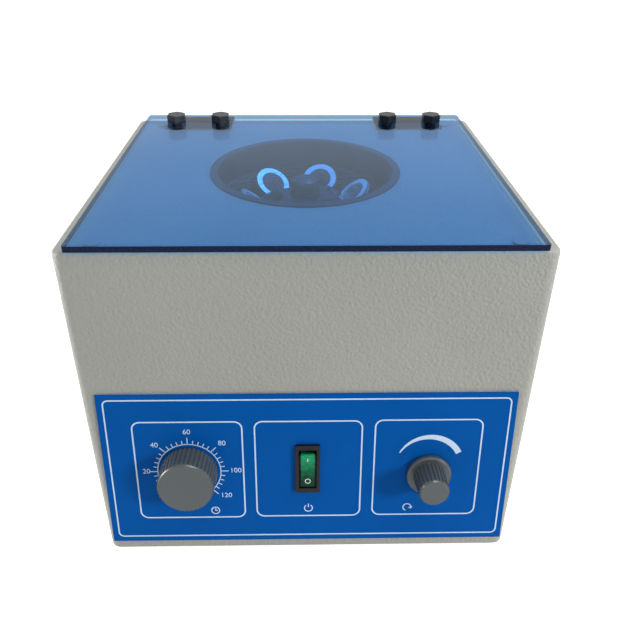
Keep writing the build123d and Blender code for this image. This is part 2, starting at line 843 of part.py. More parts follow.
with BuildPart() as rotor_hub:
    with BuildSketch(chamber_section):
        with BuildLine():
            Polyline(
                (0, crest_z),
                (hub_top_diameter / 2, crest_z),
                (hub_rim_diameter / 2, hub_rim_z),
                (hub_rim_diameter / 2, hub_rim_z - hub_rim_thickness),
                (hub_boss_diameter / 2, crest_z - hub_web_drop),
                (hub_boss_diameter / 2, crest_z - hub_boss_height),
                (0, crest_z - hub_boss_height),
                close=True,
            )
        make_face()
    revolve(axis=chamber_axis)
    for plane in cup_planes:
        with BuildSketch(plane.offset(-cup_lip_thickness)):
            Circle(cup_boss_diameter / 2)
        extrude(amount=-cup_boss_length)
    for plane in cup_planes:
        with BuildSketch(plane.offset(-cup_lip_thickness)):
            Circle(cup_boss_diameter / 2 + cup_boss_clearance)
        extrude(amount=2 * cup_lip_diameter, mode=Mode.SUBTRACT)
        with BuildSketch(plane):
            Circle(cup_outer_diameter / 2 + cup_fit)
        extrude(amount=-cup_length, mode=Mode.SUBTRACT)
    with BuildSketch(chamber_plane.offset(crest_z - hub_boss_height)):
        Circle(shaft_radius)
    extrude(amount=hub_boss_height, mode=Mode.SUBTRACT)
save(rotor_hub, "rotor_hub")

with BuildPart() as tube_cups:
    for plane in cup_planes:
        with BuildSketch(plane):
            Circle(cup_outer_diameter / 2)
        extrude(amount=-(cup_length - cup_outer_diameter / 2))
        with Locations(plane.offset(-(cup_length - cup_outer_diameter / 2)).location):
            Sphere(cup_outer_diameter / 2)
        with BuildSketch(plane):
            Circle(cup_lip_diameter / 2)
        extrude(amount=-cup_lip_thickness)
        with BuildSketch(plane):
            Circle(cup_bore_diameter / 2)
        extrude(amount=-cup_bore_depth, mode=Mode.SUBTRACT)
        with BuildSketch(plane.offset(-cup_bore_depth)):
            Circle(cushion_diameter / 2 + cushion_clearance)
        extrude(amount=-cushion_thickness, mode=Mode.SUBTRACT)
save(tube_cups, "tube_cups")

with BuildPart() as cup_cushions:
    for plane in cup_planes:
        with BuildSketch(plane.offset(-cup_bore_depth)):
            Circle(cushion_diameter / 2)
        extrude(amount=-cushion_thickness)
save(cup_cushions, "cup_cushions")

with BuildPart() as rotor_washer:
    with BuildSketch(chamber_plane.offset(crest_z)):
        Circle(rotor_washer_diameter / 2)
        Circle(shaft_radius, mode=Mode.SUBTRACT)
    extrude(amount=rotor_washer_thickness)
save(rotor_washer, "rotor_washer")

rotor_nut_z = crest_z + rotor_washer_thickness
rotor_nut_bore = rotor_nut_height - rotor_nut_cap
dome_base_z = rotor_nut_z + rotor_nut_height
dome_half = rotor_nut_flats / 2 - edge_chamfer
dome_radius = (dome_half**2 + rotor_nut_dome**2) / (2 * rotor_nut_dome)
dome_centre_z = dome_base_z + rotor_nut_dome - dome_radius
dome_half_angle = asin(dome_half / dome_radius) / 2

with BuildPart() as rotor_nut:
    with BuildSketch(chamber_plane.offset(rotor_nut_z)):
        RegularPolygon(hexagon_radius(rotor_nut_flats), 6)
    extrude(amount=rotor_nut_height)
    with BuildSketch(chamber_section):
        with BuildLine():
            Line((0, dome_base_z), (dome_half, dome_base_z))
            ThreePointArc(
                (dome_half, dome_base_z),
                (dome_radius * sin(dome_half_angle), dome_centre_z + dome_radius * cos(dome_half_angle)),
                (0, dome_base_z + rotor_nut_dome),
            )
            Line((0, dome_base_z + rotor_nut_dome), (0, dome_base_z))
        make_face()
    revolve(axis=chamber_axis)
    with BuildSketch(chamber_plane.offset(rotor_nut_z)):
        Circle(shaft_radius)
    extrude(amount=rotor_nut_bore, mode=Mode.SUBTRACT)
save(rotor_nut, "rotor_nut")

# Motor shaft, with a shoulder under the rotor, and its armature
shaft_bottom_z = motor_bottom_z + motor_wall
shaft_top_z = rotor_nut_z + rotor_nut_bore
bearing_bottom_z = shaft_bottom_z
upper_bearing_z = motor_top_z - motor_wall - bearing_width
armature_z = can_bottom_z + (can_height - armature_height) / 2
commutator_z = bearing_bottom_z + bearing_width + commutator_gap

with BuildPart() as motor_shaft:
    with BuildSketch(chamber_plane.offset(shaft_bottom_z)):
        Circle(shaft_radius)
    extrude(amount=shaft_top_z - shaft_bottom_z)
    with BuildSketch(chamber_plane.offset(crest_z - hub_boss_height)):
        Circle(drive_collar_diameter / 2)
    extrude(amount=-drive_collar_height)
save(motor_shaft, "motor_shaft")

with BuildPart() as armature:
    with BuildSketch(chamber_plane.offset(armature_z)):
        Circle(armature_diameter / 2)
        with PolarLocations(armature_diameter / 2, armature_slot_count):
            Rectangle(2 * armature_slot_depth, armature_slot_width, mode=Mode.SUBTRACT)
        Circle(shaft_radius, mode=Mode.SUBTRACT)
    extrude(amount=armature_height)
save(armature, "armature")

with BuildPart() as armature_windings:
    for start_z in (armature_z - winding_height, armature_z + armature_height):
        with BuildSketch(chamber_plane.offset(start_z)):
            Circle(winding_diameter / 2)
            Circle(shaft_radius, mode=Mode.SUBTRACT)
        extrude(amount=winding_height)
save(armature_windings, "armature_windings")

with BuildPart() as commutator:
    with BuildSketch(chamber_plane.offset(commutator_z)):
        Circle(commutator_diameter / 2)
        Circle(shaft_radius, mode=Mode.SUBTRACT)
    extrude(amount=commutator_height)
save(commutator, "commutator")

# Motor housing: two end bells and a can, on a plate carried by rubber mounts
motor_radius = motor_diameter / 2
bearing_radius = bearing_outer_diameter / 2
boss_radius = bearing_radius + bearing_boss_wall
brush_z = commutator_z + commutator_height / 2
brush_planes = [
    Plane(origin=(0, chamber_y, brush_z), x_dir=(0, side, 0), z_dir=(side, 0, 0)) for side in (-1, 1)
]

with BuildPart() as motor_lower_bell:
    with BuildSketch(chamber_plane.offset(motor_bottom_z)):
        Circle(motor_radius)
    extrude(amount=lower_bell_height)
    with BuildSketch(chamber_plane.offset(motor_bottom_z + motor_wall)):
        Circle(motor_radius - motor_wall)
        Circle(boss_radius, mode=Mode.SUBTRACT)
    extrude(amount=lower_bell_height, mode=Mode.SUBTRACT)
    with BuildSketch(chamber_plane.offset(bearing_bottom_z + bearing_width)):
        Circle(boss_radius + cut_clearance)
    extrude(amount=lower_bell_height, mode=Mode.SUBTRACT)
    with BuildSketch(chamber_plane.offset(bearing_bottom_z)):
        Circle(bearing_radius + bearing_seat_clearance)
    extrude(amount=bearing_width, mode=Mode.SUBTRACT)
    for plane in brush_planes:
        with BuildSketch(plane):
            Rectangle(brush_holder_size + 2 * cut_clearance, brush_holder_size + 2 * cut_clearance)
        extrude(amount=motor_diameter, mode=Mode.SUBTRACT)
save(motor_lower_bell, "motor_lower_bell")

with BuildPart() as motor_can:
    with BuildSketch(chamber_plane.offset(can_bottom_z)):
        Circle(motor_radius)
        Circle(motor_radius - motor_wall, mode=Mode.SUBTRACT)
    extrude(amount=can_height)
save(motor_can, "motor_can")

magnet_radius = motor_radius - motor_wall

with BuildPart() as motor_magnets:
    for start_angle in (90 - magnet_arc / 2, 270 - magnet_arc / 2):
        with BuildSketch(chamber_plane.offset(can_bottom_z)):
            with BuildLine():
                outer = CenterArc((0, 0), magnet_radius, start_angle, magnet_arc)
                inner = CenterArc((0, 0), magnet_radius - magnet_thickness, start_angle, magnet_arc)
                Line(outer @ 0, inner @ 0)
                Line(outer @ 1, inner @ 1)
            make_face()
        extrude(amount=can_height)
save(motor_magnets, "motor_magnets")

with BuildPart() as motor_upper_bell:
    with BuildSketch(chamber_plane.offset(upper_bell_z)):
        Circle(motor_radius)
    extrude(amount=upper_bell_height)
    with BuildSketch(chamber_plane.offset(motor_top_z)):
        Circle(neck_diameter / 2)
    extrude(amount=neck_height)
    with BuildSketch(chamber_plane.offset(motor_top_z - motor_wall)):
        Circle(motor_radius - motor_wall)
        Circle(boss_radius, mode=Mode.SUBTRACT)
    extrude(amount=-upper_bell_height, mode=Mode.SUBTRACT)
    with BuildSketch(chamber_plane.offset(upper_bearing_z)):
        Circle(boss_radius + cut_clearance)
    extrude(amount=-upper_bell_height, mode=Mode.SUBTRACT)
    with BuildSketch(chamber_plane.offset(upper_bearing_z)):
        Circle(bearing_radius + bearing_seat_clearance)
    extrude(amount=bearing_width, mode=Mode.SUBTRACT)
    with BuildSketch(chamber_plane.offset(upper_bearing_z)):
        Circle(shaft_hole_diameter / 2)
    extrude(amount=motor_top_z + neck_height - upper_bearing_z, mode=Mode.SUBTRACT)
save(motor_upper_bell, "motor_upper_bell")

with BuildPart() as motor_bearings:
    for start_z in (bearing_bottom_z, upper_bearing_z):
        with BuildSketch(chamber_plane.offset(start_z)):
            Circle(bearing_radius)
            Circle(shaft_radius + shaft_clearance, mode=Mode.SUBTRACT)
        extrude(amount=bearing_width)
save(motor_bearings, "motor_bearings")

brush_inner = commutator_diameter / 2 + brush_gap
brush_holder_inner = brush_inner + 2 * brush_gap
brush_holder_outer = motor_radius + brush_holder_lip
brush_outer = motor_radius - motor_wall - brush_spring_length

with BuildPart() as brush_holders:
    for plane in brush_planes:
        with BuildSketch(plane.offset(brush_holder_inner)):
            Rectangle(brush_holder_size, brush_holder_size)
            Rectangle(brush_size + 2 * cut_clearance, brush_size + 2 * cut_clearance, mode=Mode.SUBTRACT)
        extrude(amount=brush_holder_outer - brush_holder_inner)
save(brush_holders, "brush_holders")

with BuildPart() as carbon_brushes:
    for plane in brush_planes:
        with BuildSketch(plane.offset(brush_inner)):
            Rectangle(brush_size, brush_size)
        extrude(amount=brush_outer - brush_inner)
save(carbon_brushes, "carbon_brushes")

with BuildPart() as brush_caps:
    for plane in brush_planes:
        with BuildSketch(plane.offset(brush_holder_outer)):
            Circle(brush_cap_diameter / 2)
        extrude(amount=brush_cap_height)
        with BuildSketch(plane.offset(brush_holder_outer)):
            Circle(brush_size / 2)
        extrude(amount=brush_outer - brush_holder_outer)
save(brush_caps, "brush_caps")

with BuildPart() as motor_plate:
    with BuildSketch(Plane.XY.offset(motor_plate_z)):
        with Locations((0, chamber_y)):
            RectangleRounded(motor_plate_size, motor_plate_size, motor_plate_corner_radius)
            with PolarLocations(motor_screw_radius, motor_screw_count, start_angle=45):
                Circle(screw_diameter / 2 + screw_clearance, mode=Mode.SUBTRACT)
        with Locations(*mounts_at):
            Circle(stud_diameter / 2 + screw_clearance, mode=Mode.SUBTRACT)
    extrude(amount=motor_plate_thickness)
save(motor_plate, "motor_plate")

with BuildPart() as motor_screws:
    with BuildSketch(Plane.XY.offset(motor_plate_z)):
        with Locations((0, chamber_y)):
            with PolarLocations(motor_screw_radius, motor_screw_count, start_angle=45):
                Circle(screw_head_diameter / 2)
    extrude(amount=-screw_head_height)
    with BuildSketch(Plane.XY.offset(motor_plate_z)):
        with Locations((0, chamber_y)):
            with PolarLocations(motor_screw_radius, motor_screw_count, start_angle=45):
                Circle(screw_diameter / 2)
    extrude(amount=motor_plate_thickness)
save(motor_screws, "motor_screws")

with BuildPart() as rubber_mounts:
    with BuildSketch(Plane.XY.offset(tray_top_z)):
        with Locations(*mounts_at):
            Circle(mount_diameter / 2)
            Circle(stud_diameter / 2, mode=Mode.SUBTRACT)
    extrude(amount=mount_height)
save(rubber_mounts, "rubber_mounts")

stud_reach = stud_nut_height + stud_end_length

with BuildPart() as mount_studs:
    with BuildSketch(Plane.XY.offset(case_bottom_z - stud_reach)):
        with Locations(*mounts_at):
            Circle(stud_diameter / 2)
    extrude(amount=motor_bottom_z - case_bottom_z + 2 * stud_reach)
save(mount_studs, "mount_studs")

# Rubber seal between the motor's neck and the bowl floor
seal_inner = neck_diameter / 2 + seal_clearance
seal_web = bowl_hole_diameter / 2 - seal_clearance / 2
seal_outer = seal_flange_diameter / 2
floor_top_z = bowl_floor_z + bowl_wall

with BuildPart() as shaft_seal:
    with BuildSketch(chamber_plane.offset(bowl_floor_z - seal_flange_thickness)):
        Circle(seal_outer)
        Circle(seal_inner, mode=Mode.SUBTRACT)
    extrude(amount=seal_flange_thickness)
    with BuildSketch(chamber_plane.offset(bowl_floor_z)):
        Circle(seal_web)
        Circle(seal_inner, mode=Mode.SUBTRACT)
    extrude(amount=bowl_wall)
    with BuildSketch(chamber_plane.offset(floor_top_z)):
        Circle(seal_outer)
        Circle(seal_inner, mode=Mode.SUBTRACT)
    extrude(amount=seal_flange_thickness)
save(shaft_seal, "shaft_seal")

# Front panel: a thin plate on the leaning front

with BuildPart() as front_panel:
    with BuildSketch(panel_plane):
        Rectangle(panel_width, panel_height)
        with Locations(timer_at):
            Circle(timer_bush_diameter / 2 + panel_hole_clearance, mode=Mode.SUBTRACT)
        with Locations(speed_at):
            Circle(speed_bush_diameter / 2 + panel_hole_clearance, mode=Mode.SUBTRACT)
        with Locations(switch_at):
            Rectangle(
                switch_body_width + 2 * cut_clearance,
                switch_body_height + 2 * cut_clearance,
                mode=Mode.SUBTRACT,
            )
    extrude(amount=panel_thickness)
save(front_panel, "front_panel")

# Timer and speed control share one way of building: body, bush, shaft, fluted knob
bush_reach = panel_thickness + timer_nut_height + knob_gap
knob_base = panel_thickness + knob_gap
knob_bore_radius = knob_shaft_diameter / 2
shaft_inner_end = shaft_end_gap - case_wall - knob_shaft_reach

with BuildPart() as timer_body:
    with BuildSketch(panel_plane.offset(-case_wall)):
        with Locations(timer_at):
            RectangleRounded(timer_body_size, timer_body_size, timer_body_corner_radius)
    extrude(amount=-timer_body_depth)
    with BuildSketch(panel_plane.offset(-case_wall)):
        with Locations(timer_at):
            Circle(timer_bush_diameter / 2)
    extrude(amount=case_wall + bush_reach)
    with BuildSketch(panel_plane.offset(bush_reach)):
        with Locations(timer_at):
            Circle(knob_bore_radius + knob_shaft_clearance)
    extrude(amount=-(bush_reach + case_wall + knob_shaft_reach), mode=Mode.SUBTRACT)
save(timer_body, "timer_body")

with BuildPart() as timer_shaft:
    with BuildSketch(panel_plane.offset(shaft_inner_end)):
        with Locations(timer_at):
            Circle(knob_bore_radius)
    extrude(amount=knob_base + timer_knob_height - knob_face_thickness - shaft_inner_end)
save(timer_shaft, "timer_shaft")

timer_taper = (timer_knob_diameter - timer_face_diameter) / 2 / timer_knob_height
timer_cavity_radius = hexagon_radius(timer_nut_flats) + timer_cavity_margin

with BuildPart() as timer_knob:
    with BuildSketch(panel_plane.offset(knob_base)):
        with Locations(timer_at):
            fluted_circle(timer_knob_diameter / 2, timer_flutes, timer_flute_depth)
    with BuildSketch(panel_plane.offset(knob_base + timer_knob_height - knob_bevel)):
        with Locations(timer_at):
            fluted_circle(timer_face_diameter / 2 + knob_bevel * timer_taper, timer_flutes, timer_flute_depth)
    loft(ruled=True)
    with BuildSketch(panel_plane.offset(knob_base + timer_knob_height - knob_bevel)):
        with Locations(timer_at):
            Circle(timer_face_diameter / 2 - timer_flute_depth)
    extrude(amount=knob_bevel, taper=knob_bevel_angle)
    with BuildSketch(panel_plane.offset(knob_base)):
        with Locations(timer_at):
            Circle(timer_cavity_radius)
    extrude(amount=knob_cavity_depth, mode=Mode.SUBTRACT)
    with BuildSketch(panel_plane.offset(knob_base)):
        with Locations(timer_at):
            Circle(knob_bore_radius)
    extrude(amount=timer_knob_height - knob_face_thickness, mode=Mode.SUBTRACT)
save(timer_knob, "timer_knob")

speed_bush_reach = panel_thickness + speed_nut_height + knob_gap

with BuildPart() as speed_control:
    with BuildSketch(panel_plane.offset(-case_wall)):
        with Locations(speed_at):
            Circle(speed_body_diameter / 2)
    extrude(amount=-speed_body_depth)
    with BuildSketch(panel_plane.offset(-case_wall)):
        with Locations(speed_at):
            Circle(speed_bush_diameter / 2)
    extrude(amount=case_wall + speed_bush_reach)
    with BuildSketch(panel_plane.offset(speed_bush_reach)):
        with Locations(speed_at):
            Circle(knob_bore_radius + knob_shaft_clearance)
    extrude(amount=-(speed_bush_reach + case_wall + knob_shaft_reach), mode=Mode.SUBTRACT)
save(speed_control, "speed_control")

with BuildPart() as speed_shaft:
    with BuildSketch(panel_plane.offset(shaft_inner_end)):
        with Locations(speed_at):
            Circle(knob_bore_radius)
    extrude(amount=speed_knob_front - knob_face_thickness - shaft_inner_end)
save(speed_shaft, "speed_shaft")

speed_grip_base = knob_base + speed_skirt_height
speed_grip_top = speed_knob_front - knob_bevel
speed_cavity_radius = hexagon_radius(speed_nut_flats) + speed_cavity_margin

with BuildPart() as speed_knob:
    with BuildSketch(panel_plane.offset(knob_base)):
        with Locations(speed_at):
            Circle(speed_skirt_diameter / 2)
    extrude(amount=speed_skirt_height)
    chamfer(speed_knob.faces().sort_by(panel_axis)[-1].edges(), knob_bevel)
    with BuildSketch(panel_plane.offset(speed_grip_base)):
        with Locations(speed_at):
            fluted_circle(speed_grip_diameter / 2, speed_flutes, speed_flute_depth)
    with BuildSketch(panel_plane.offset(speed_grip_top)):
        with Locations(speed_at):
            fluted_circle(speed_face_diameter / 2, speed_flutes, speed_flute_depth)
    loft(ruled=True)
    with BuildSketch(panel_plane.offset(speed_grip_top)):
        with Locations(speed_at):
            Circle(speed_face_diameter / 2 - speed_flute_depth)
    extrude(amount=knob_bevel, taper=knob_bevel_angle)
    with BuildSketch(panel_plane.offset(knob_base)):
        with Locations(speed_at):
            Circle(speed_cavity_radius)
    extrude(amount=knob_cavity_depth, mode=Mode.SUBTRACT)
    with BuildSketch(panel_plane.offset(knob_base)):
        with Locations(speed_at):
            Circle(knob_bore_radius)
    extrude(amount=speed_knob_height - knob_face_thickness, mode=Mode.SUBTRACT)
save(speed_knob, "speed_knob")

# Power switch: a housing clipped in the panel and a rocker on two trunnions
pivot_height = panel_thickness + switch_bezel_thickness - rocker_pivot_depth
rocker_pin_hole = rocker_pin_diameter / 2 + rocker_pin_clearance
rocker_hole_half = switch_body_width / 2 - rocker_pin_cover
rocker_pin_half = rocker_hole_half - rocker_pin_end_gap

with BuildPart() as switch_housing:
    with BuildSketch(panel_plane.offset(panel_thickness)):
        with Locations(switch_at):
            RectangleRounded(switch_bezel_width, switch_bezel_height, switch_bezel_corner_radius)
    extrude(amount=switch_bezel_thickness)
    with BuildSketch(panel_plane.offset(panel_thickness)):
        with Locations(switch_at):
            Rectangle(switch_body_width, switch_body_height)
    extrude(amount=-(panel_thickness + switch_body_depth))
    with BuildSketch(panel_plane.offset(panel_thickness + switch_bezel_thickness)):
        with Locations(switch_at):
            Rectangle(switch_well_width, switch_well_height)
    extrude(amount=-switch_well_depth, mode=Mode.SUBTRACT)
    pivot_plane = Plane(
        origin=panel_plane.offset(pivot_height - rocker_depth / 2).from_local_coords((0, switch_raise, 0)),
        x_dir=panel_plane.y_dir,
        z_dir=(1, 0, 0),
    )
    with BuildSketch(pivot_plane.offset(-rocker_hole_half)):
        Circle(rocker_pin_hole)
    extrude(amount=2 * rocker_hole_half, mode=Mode.SUBTRACT)
save(switch_housing, "switch_housing")

rocker_lean = radians(front_lean - rocker_tilt)
rocker_x_dir = (0, sin(rocker_lean), cos(rocker_lean))
rocker_plane = Plane(origin=pivot_plane.origin, x_dir=rocker_x_dir, z_dir=(1, 0, 0))
rocker_half = rocker_length / 2
rocker_foot_half = rocker_half - rocker_foot_inset
rocker_end_rise = rocker_rise + rocker_half * tan(radians(rocker_tilt))

with BuildPart() as power_rocker:
    with BuildSketch(rocker_plane.offset(-rocker_width / 2)):
        with BuildLine():
            Polyline(
                (-rocker_half, rocker_end_rise),
                (-rocker_foot_half, -rocker_depth / 2),
                (rocker_foot_half, -rocker_depth / 2),
                (rocker_half, rocker_end_rise),
                (0, rocker_rise),
                close=True,
            )
        make_face()
    extrude(amount=rocker_width)
    with BuildSketch(rocker_plane.offset(-rocker_pin_half)):
        Circle(rocker_pin_diameter / 2)
    extrude(amount=2 * rocker_pin_half)
save(power_rocker, "power_rocker")

# Control board on standoffs, with its larger components
board_z = tray_top_z + standoff_height
board_top_z = board_z + board_thickness
board_left = -board_width / 2

with BuildPart() as board_standoffs:
    with BuildSketch(Plane.XY.offset(tray_top_z)):
        with Locations(*standoffs_at):
            RegularPolygon(standoff_diameter / 2, 6)
    extrude(amount=standoff_height)
save(board_standoffs, "board_standoffs")

with BuildPart() as control_board:
    with BuildSketch(Plane.XY.offset(board_z)):
        with Locations((0, board_y)):
            Rectangle(board_width, board_depth)
    extrude(amount=board_thickness)
save(control_board, "control_board")

with BuildPart() as board_screws:
    with BuildSketch(Plane.XY.offset(board_top_z)):
        with Locations(*standoffs_at):
            Circle(standoff_diameter / 2)
    extrude(amount=screw_head_height)
save(board_screws, "board_screws")

sink_x = board_left + standoff_inset * 2 + heat_sink_width / 2
fin_pitch = (heat_sink_width - heat_sink_fin_thickness) / (heat_sink_fins - 1)

with BuildPart() as heat_sink:
    with BuildSketch(Plane.XY.offset(board_top_z)):
        with Locations((sink_x, board_y)):
            Rectangle(heat_sink_width, heat_sink_base)
        with Locations((sink_x, board_y + heat_sink_base / 2 + heat_sink_fin_depth / 2)):
            with GridLocations(fin_pitch, 0, heat_sink_fins, 1):
                Rectangle(heat_sink_fin_thickness, heat_sink_fin_depth)
    extrude(amount=heat_sink_height)
save(heat_sink, "heat_sink")

capacitor_x = sink_x + heat_sink_width / 2 + capacitor_diameter

with BuildPart() as capacitors:
    with BuildSketch(Plane.XY.offset(board_top_z)):
        with Locations((capacitor_x, board_y)):
            with GridLocations(0, capacitor_spacing, 1, 2):
                Circle(capacitor_diameter / 2)
    extrude(amount=capacitor_height)
save(capacitors, "capacitors")

terminal_x = board_width / 2 - standoff_inset * 2 - terminal_poles * terminal_pitch / 2

with BuildPart() as terminal_block:
    with BuildSketch(Plane.XY.offset(board_top_z)):
        with Locations((terminal_x, board_y)):
            Rectangle(terminal_poles * terminal_pitch, terminal_depth)
    extrude(amount=terminal_height)
    with BuildSketch(Plane.XY.offset(board_top_z + terminal_height)):
        with Locations((terminal_x, board_y)):
            with GridLocations(terminal_pitch, 0, terminal_poles, 1):
                Circle(terminal_screw_diameter / 2)
    extrude(amount=-terminal_screw_depth, mode=Mode.SUBTRACT)
save(terminal_block, "terminal_block")

# Back wall: mains inlet, fuse holder and cap
with BuildPart() as mains_inlet:
    with BuildSketch(back_plane):
        with Locations(inlet_at):
            RectangleRounded(inlet_flange_width, inlet_flange_height, inlet_flange_corner_radius)
    extrude(amount=inlet_flange_thickness)
    with BuildSketch(back_plane):
        with Locations(inlet_at):
            Rectangle(inlet_body_width, inlet_body_height)
    extrude(amount=-inlet_body_depth)
    with BuildSketch(back_plane.offset(inlet_flange_thickness)):
        with Locations(inlet_at):
            RectangleRounded(inlet_socket_width, inlet_socket_height, inlet_socket_corner_radius)
    extrude(amount=-inlet_socket_depth, mode=Mode.SUBTRACT)
    with BuildSketch(back_plane):
        with Locations(*inlet_screws_at):
            Circle(case_screw_hole / 2)
    extrude(amount=inlet_flange_thickness, mode=Mode.SUBTRACT)
save(mains_inlet, "mains_inlet")

inlet_floor = inlet_flange_thickness - inlet_socket_depth
inlet_blades_at = [
    (-inlet_x - inlet_blade_spacing, inlet_rise - inlet_blade_thickness),
    (-inlet_x, inlet_rise + inlet_blade_thickness),
    (-inlet_x + inlet_blade_spacing, inlet_rise - inlet_blade_thickness),
]

# Contact blades: three behind the switch and three in the mains inlet
with BuildPart() as contact_blades:
    with BuildSketch(panel_plane.offset(-switch_body_depth)):
        with Locations(switch_at):
            with GridLocations(0, blade_spacing, 1, 3):
                Rectangle(blade_width, blade_thickness)
    extrude(amount=-blade_length)
    with BuildSketch(back_plane.offset(inlet_floor)):
        with Locations(*inlet_blades_at):
            Rectangle(inlet_blade_thickness, inlet_blade_width)
    extrude(amount=inlet_blade_length)
save(contact_blades, "contact_blades")

with BuildPart() as fuse_holder:
    with BuildSketch(back_plane):
        with Locations(fuse_at):
            Circle(fuse_flange_diameter / 2)
    extrude(amount=fuse_flange_thickness)
    with BuildSketch(back_plane):
        with Locations(fuse_at):
            Circle(fuse_bush_diameter / 2)
    extrude(amount=-fuse_body_length)
save(fuse_holder, "fuse_holder")

with BuildPart() as fuse_cap:
    with BuildSketch(back_plane.offset(fuse_flange_thickness)):
        with Locations(fuse_at):
            Circle(fuse_cap_diameter / 2)
    extrude(amount=fuse_cap_height)
    with BuildSketch(back_plane.offset(fuse_flange_thickness + fuse_cap_height)):
        with Locations(fuse_at):
            Rectangle(fuse_cap_diameter, fuse_slot_width)
    extrude(amount=-fuse_slot_depth, mode=Mode.SUBTRACT)
save(fuse_cap, "fuse_cap")

# Thin nuts that clamp the timer, the speed control and the fuse holder in their walls
with BuildPart() as bush_nuts:
    with BuildSketch(panel_plane.offset(panel_thickness)):
        with Locations(timer_at):
            RegularPolygon(hexagon_radius(timer_nut_flats), 6)
            Circle(timer_bush_diameter / 2, mode=Mode.SUBTRACT)
    extrude(amount=timer_nut_height)
    with BuildSketch(panel_plane.offset(panel_thickness)):
        with Locations(speed_at):
            RegularPolygon(hexagon_radius(speed_nut_flats), 6)
            Circle(speed_bush_diameter / 2, mode=Mode.SUBTRACT)
    extrude(amount=speed_nut_height)
    with BuildSketch(back_plane.offset(-case_wall)):
        with Locations(fuse_at):
            RegularPolygon(hexagon_radius(fuse_nut_flats), 6)
            Circle(fuse_bush_diameter / 2, mode=Mode.SUBTRACT)
    extrude(amount=-fuse_nut_height)
save(bush_nuts, "bush_nuts")
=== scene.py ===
"""The looks of a tabletop centrifuge: finishes, printed panel marks, camera, light and floor."""

import json
import math

import bmesh
import bpy
from mathutils import Matrix, Vector


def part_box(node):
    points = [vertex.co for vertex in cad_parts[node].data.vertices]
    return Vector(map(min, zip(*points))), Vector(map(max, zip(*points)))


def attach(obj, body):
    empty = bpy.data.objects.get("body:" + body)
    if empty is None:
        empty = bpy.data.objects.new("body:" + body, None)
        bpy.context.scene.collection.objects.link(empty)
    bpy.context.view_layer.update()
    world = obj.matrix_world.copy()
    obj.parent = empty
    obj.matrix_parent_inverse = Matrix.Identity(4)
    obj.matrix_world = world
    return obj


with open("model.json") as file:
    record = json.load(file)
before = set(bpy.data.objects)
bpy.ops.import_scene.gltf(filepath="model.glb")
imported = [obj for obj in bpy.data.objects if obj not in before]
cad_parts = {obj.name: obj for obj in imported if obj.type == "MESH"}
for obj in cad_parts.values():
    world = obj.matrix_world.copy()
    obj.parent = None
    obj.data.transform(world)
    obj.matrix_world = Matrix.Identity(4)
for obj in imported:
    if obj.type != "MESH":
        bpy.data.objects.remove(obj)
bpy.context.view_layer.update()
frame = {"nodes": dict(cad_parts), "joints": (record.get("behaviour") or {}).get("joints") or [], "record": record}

MM = 0.001

# Front panel: how far the case's front leans, and the print on it, in millimetres from the panel's centre
FRONT_LEAN = math.radians(11.0)
PRINT_LIFT = 0.03
PRINT_DEPTH = 0.04

# Printed lines: a border round the whole panel and a field (centre and size) round each control
LINE_WIDTH = 0.85
BORDER_SIZE = (233.4, 96.0)
BORDER_CENTRE = (0.2, 0.2)
BORDER_RADIUS = 3.5
FIELDS = (((-69.6, 0.0), (64.0, 67.9)), ((0.4, 0.2), (63.2, 67.5)), ((70.4, 0.5), (63.2, 67.5)))
FIELD_RADIUS = 5.0

# Timer's dial: angles in degrees, numbers with the places of their centres
DIAL_CENTRE = (-70.0, 0.0)
DIAL_RADIUS = 18.6
DIAL_TICK = 4.6
DIAL_SMALL_TICK = 2.6
DIAL_LINE = 0.55
DIAL_START = 180.0
DIAL_STEP = 45.0
DIAL_STEPS = 5
DIAL_PARTS = 5
DIAL_NUMBERS = (
    ("20", (-95.3, 0.1)),
    ("40", (-89.3, 18.2)),
    ("60", (-70.0, 26.9)),
    ("80", (-50.0, 19.2)),
    ("100", (-42.6, 0.3)),
    ("120", (-48.9, -17.5)),
)
NUMBER_HEIGHT = 4.6

# Speed wedge: centre and radius of its two edges, which meet in a tip and end at a slanted side
WEDGE_OUTER = ((72.2, 3.6), 20.1)
WEDGE_INNER = ((70.6, 2.0), 18.75)
WEDGE_TIP = (54.4, 11.4)
WEDGE_END = (90.8, 12.25)
WEDGE_INNER_END = (87.3, 10.2)
WEDGE_STEPS = 40

# Signs under the controls: hands and stroke in parts of the radius, arcs in degrees, barbs in millimetres
SIGN_RADIUS = 2.4
SIGN_LINE = 0.6
CLOCK_PLACE = (-56.0, -28.6)
CLOCK_HANDS = (0.65, 0.5)
POWER_PLACE = (0.4, -27.5)
POWER_ARC = (125.0, 415.0)
POWER_STROKE = (0.3, 1.35)
SPEED_PLACE = (60.5, -27.5)
SPEED_ARC = (-20.0, 250.0)
SPEED_BARBS = ((-1.1, 0.7), (0.9, 1.0))

# Rocker: its green lens, and its two marks, in millimetres along the rocker from its pivot
LENS_HALF_WIDTH = 3.9
ROCKER_TILT = math.radians(7.0)
ROCKER_RISE = 3.2
MARK_PLACE = 8.2
MARK_RADIUS = 1.5
MARK_LINE = 0.45
MARK_LIFT = 0.05

# Lid: what one face or one edge lets through, and how strongly a face mirrors the room, slanted and face on
LID_TINT = (0.49, 0.765, 1.0, 1.0)
LID_EDGE_TINT = (0.2, 0.26, 0.38, 1.0)
LID_MIRROR = 0.576
LID_MIRROR_LEAST = 0.024

# Camera, fitted to the photograph: place in metres, turns in degrees, focal length for a square picture
CAMERA_PLACE = (-0.00445, -0.3974, 0.3541)
CAMERA_PITCH = 32.65
CAMERA_YAW = 1.12
CAMERA_ROLL = 0.30
CAMERA_LENS = 37.36

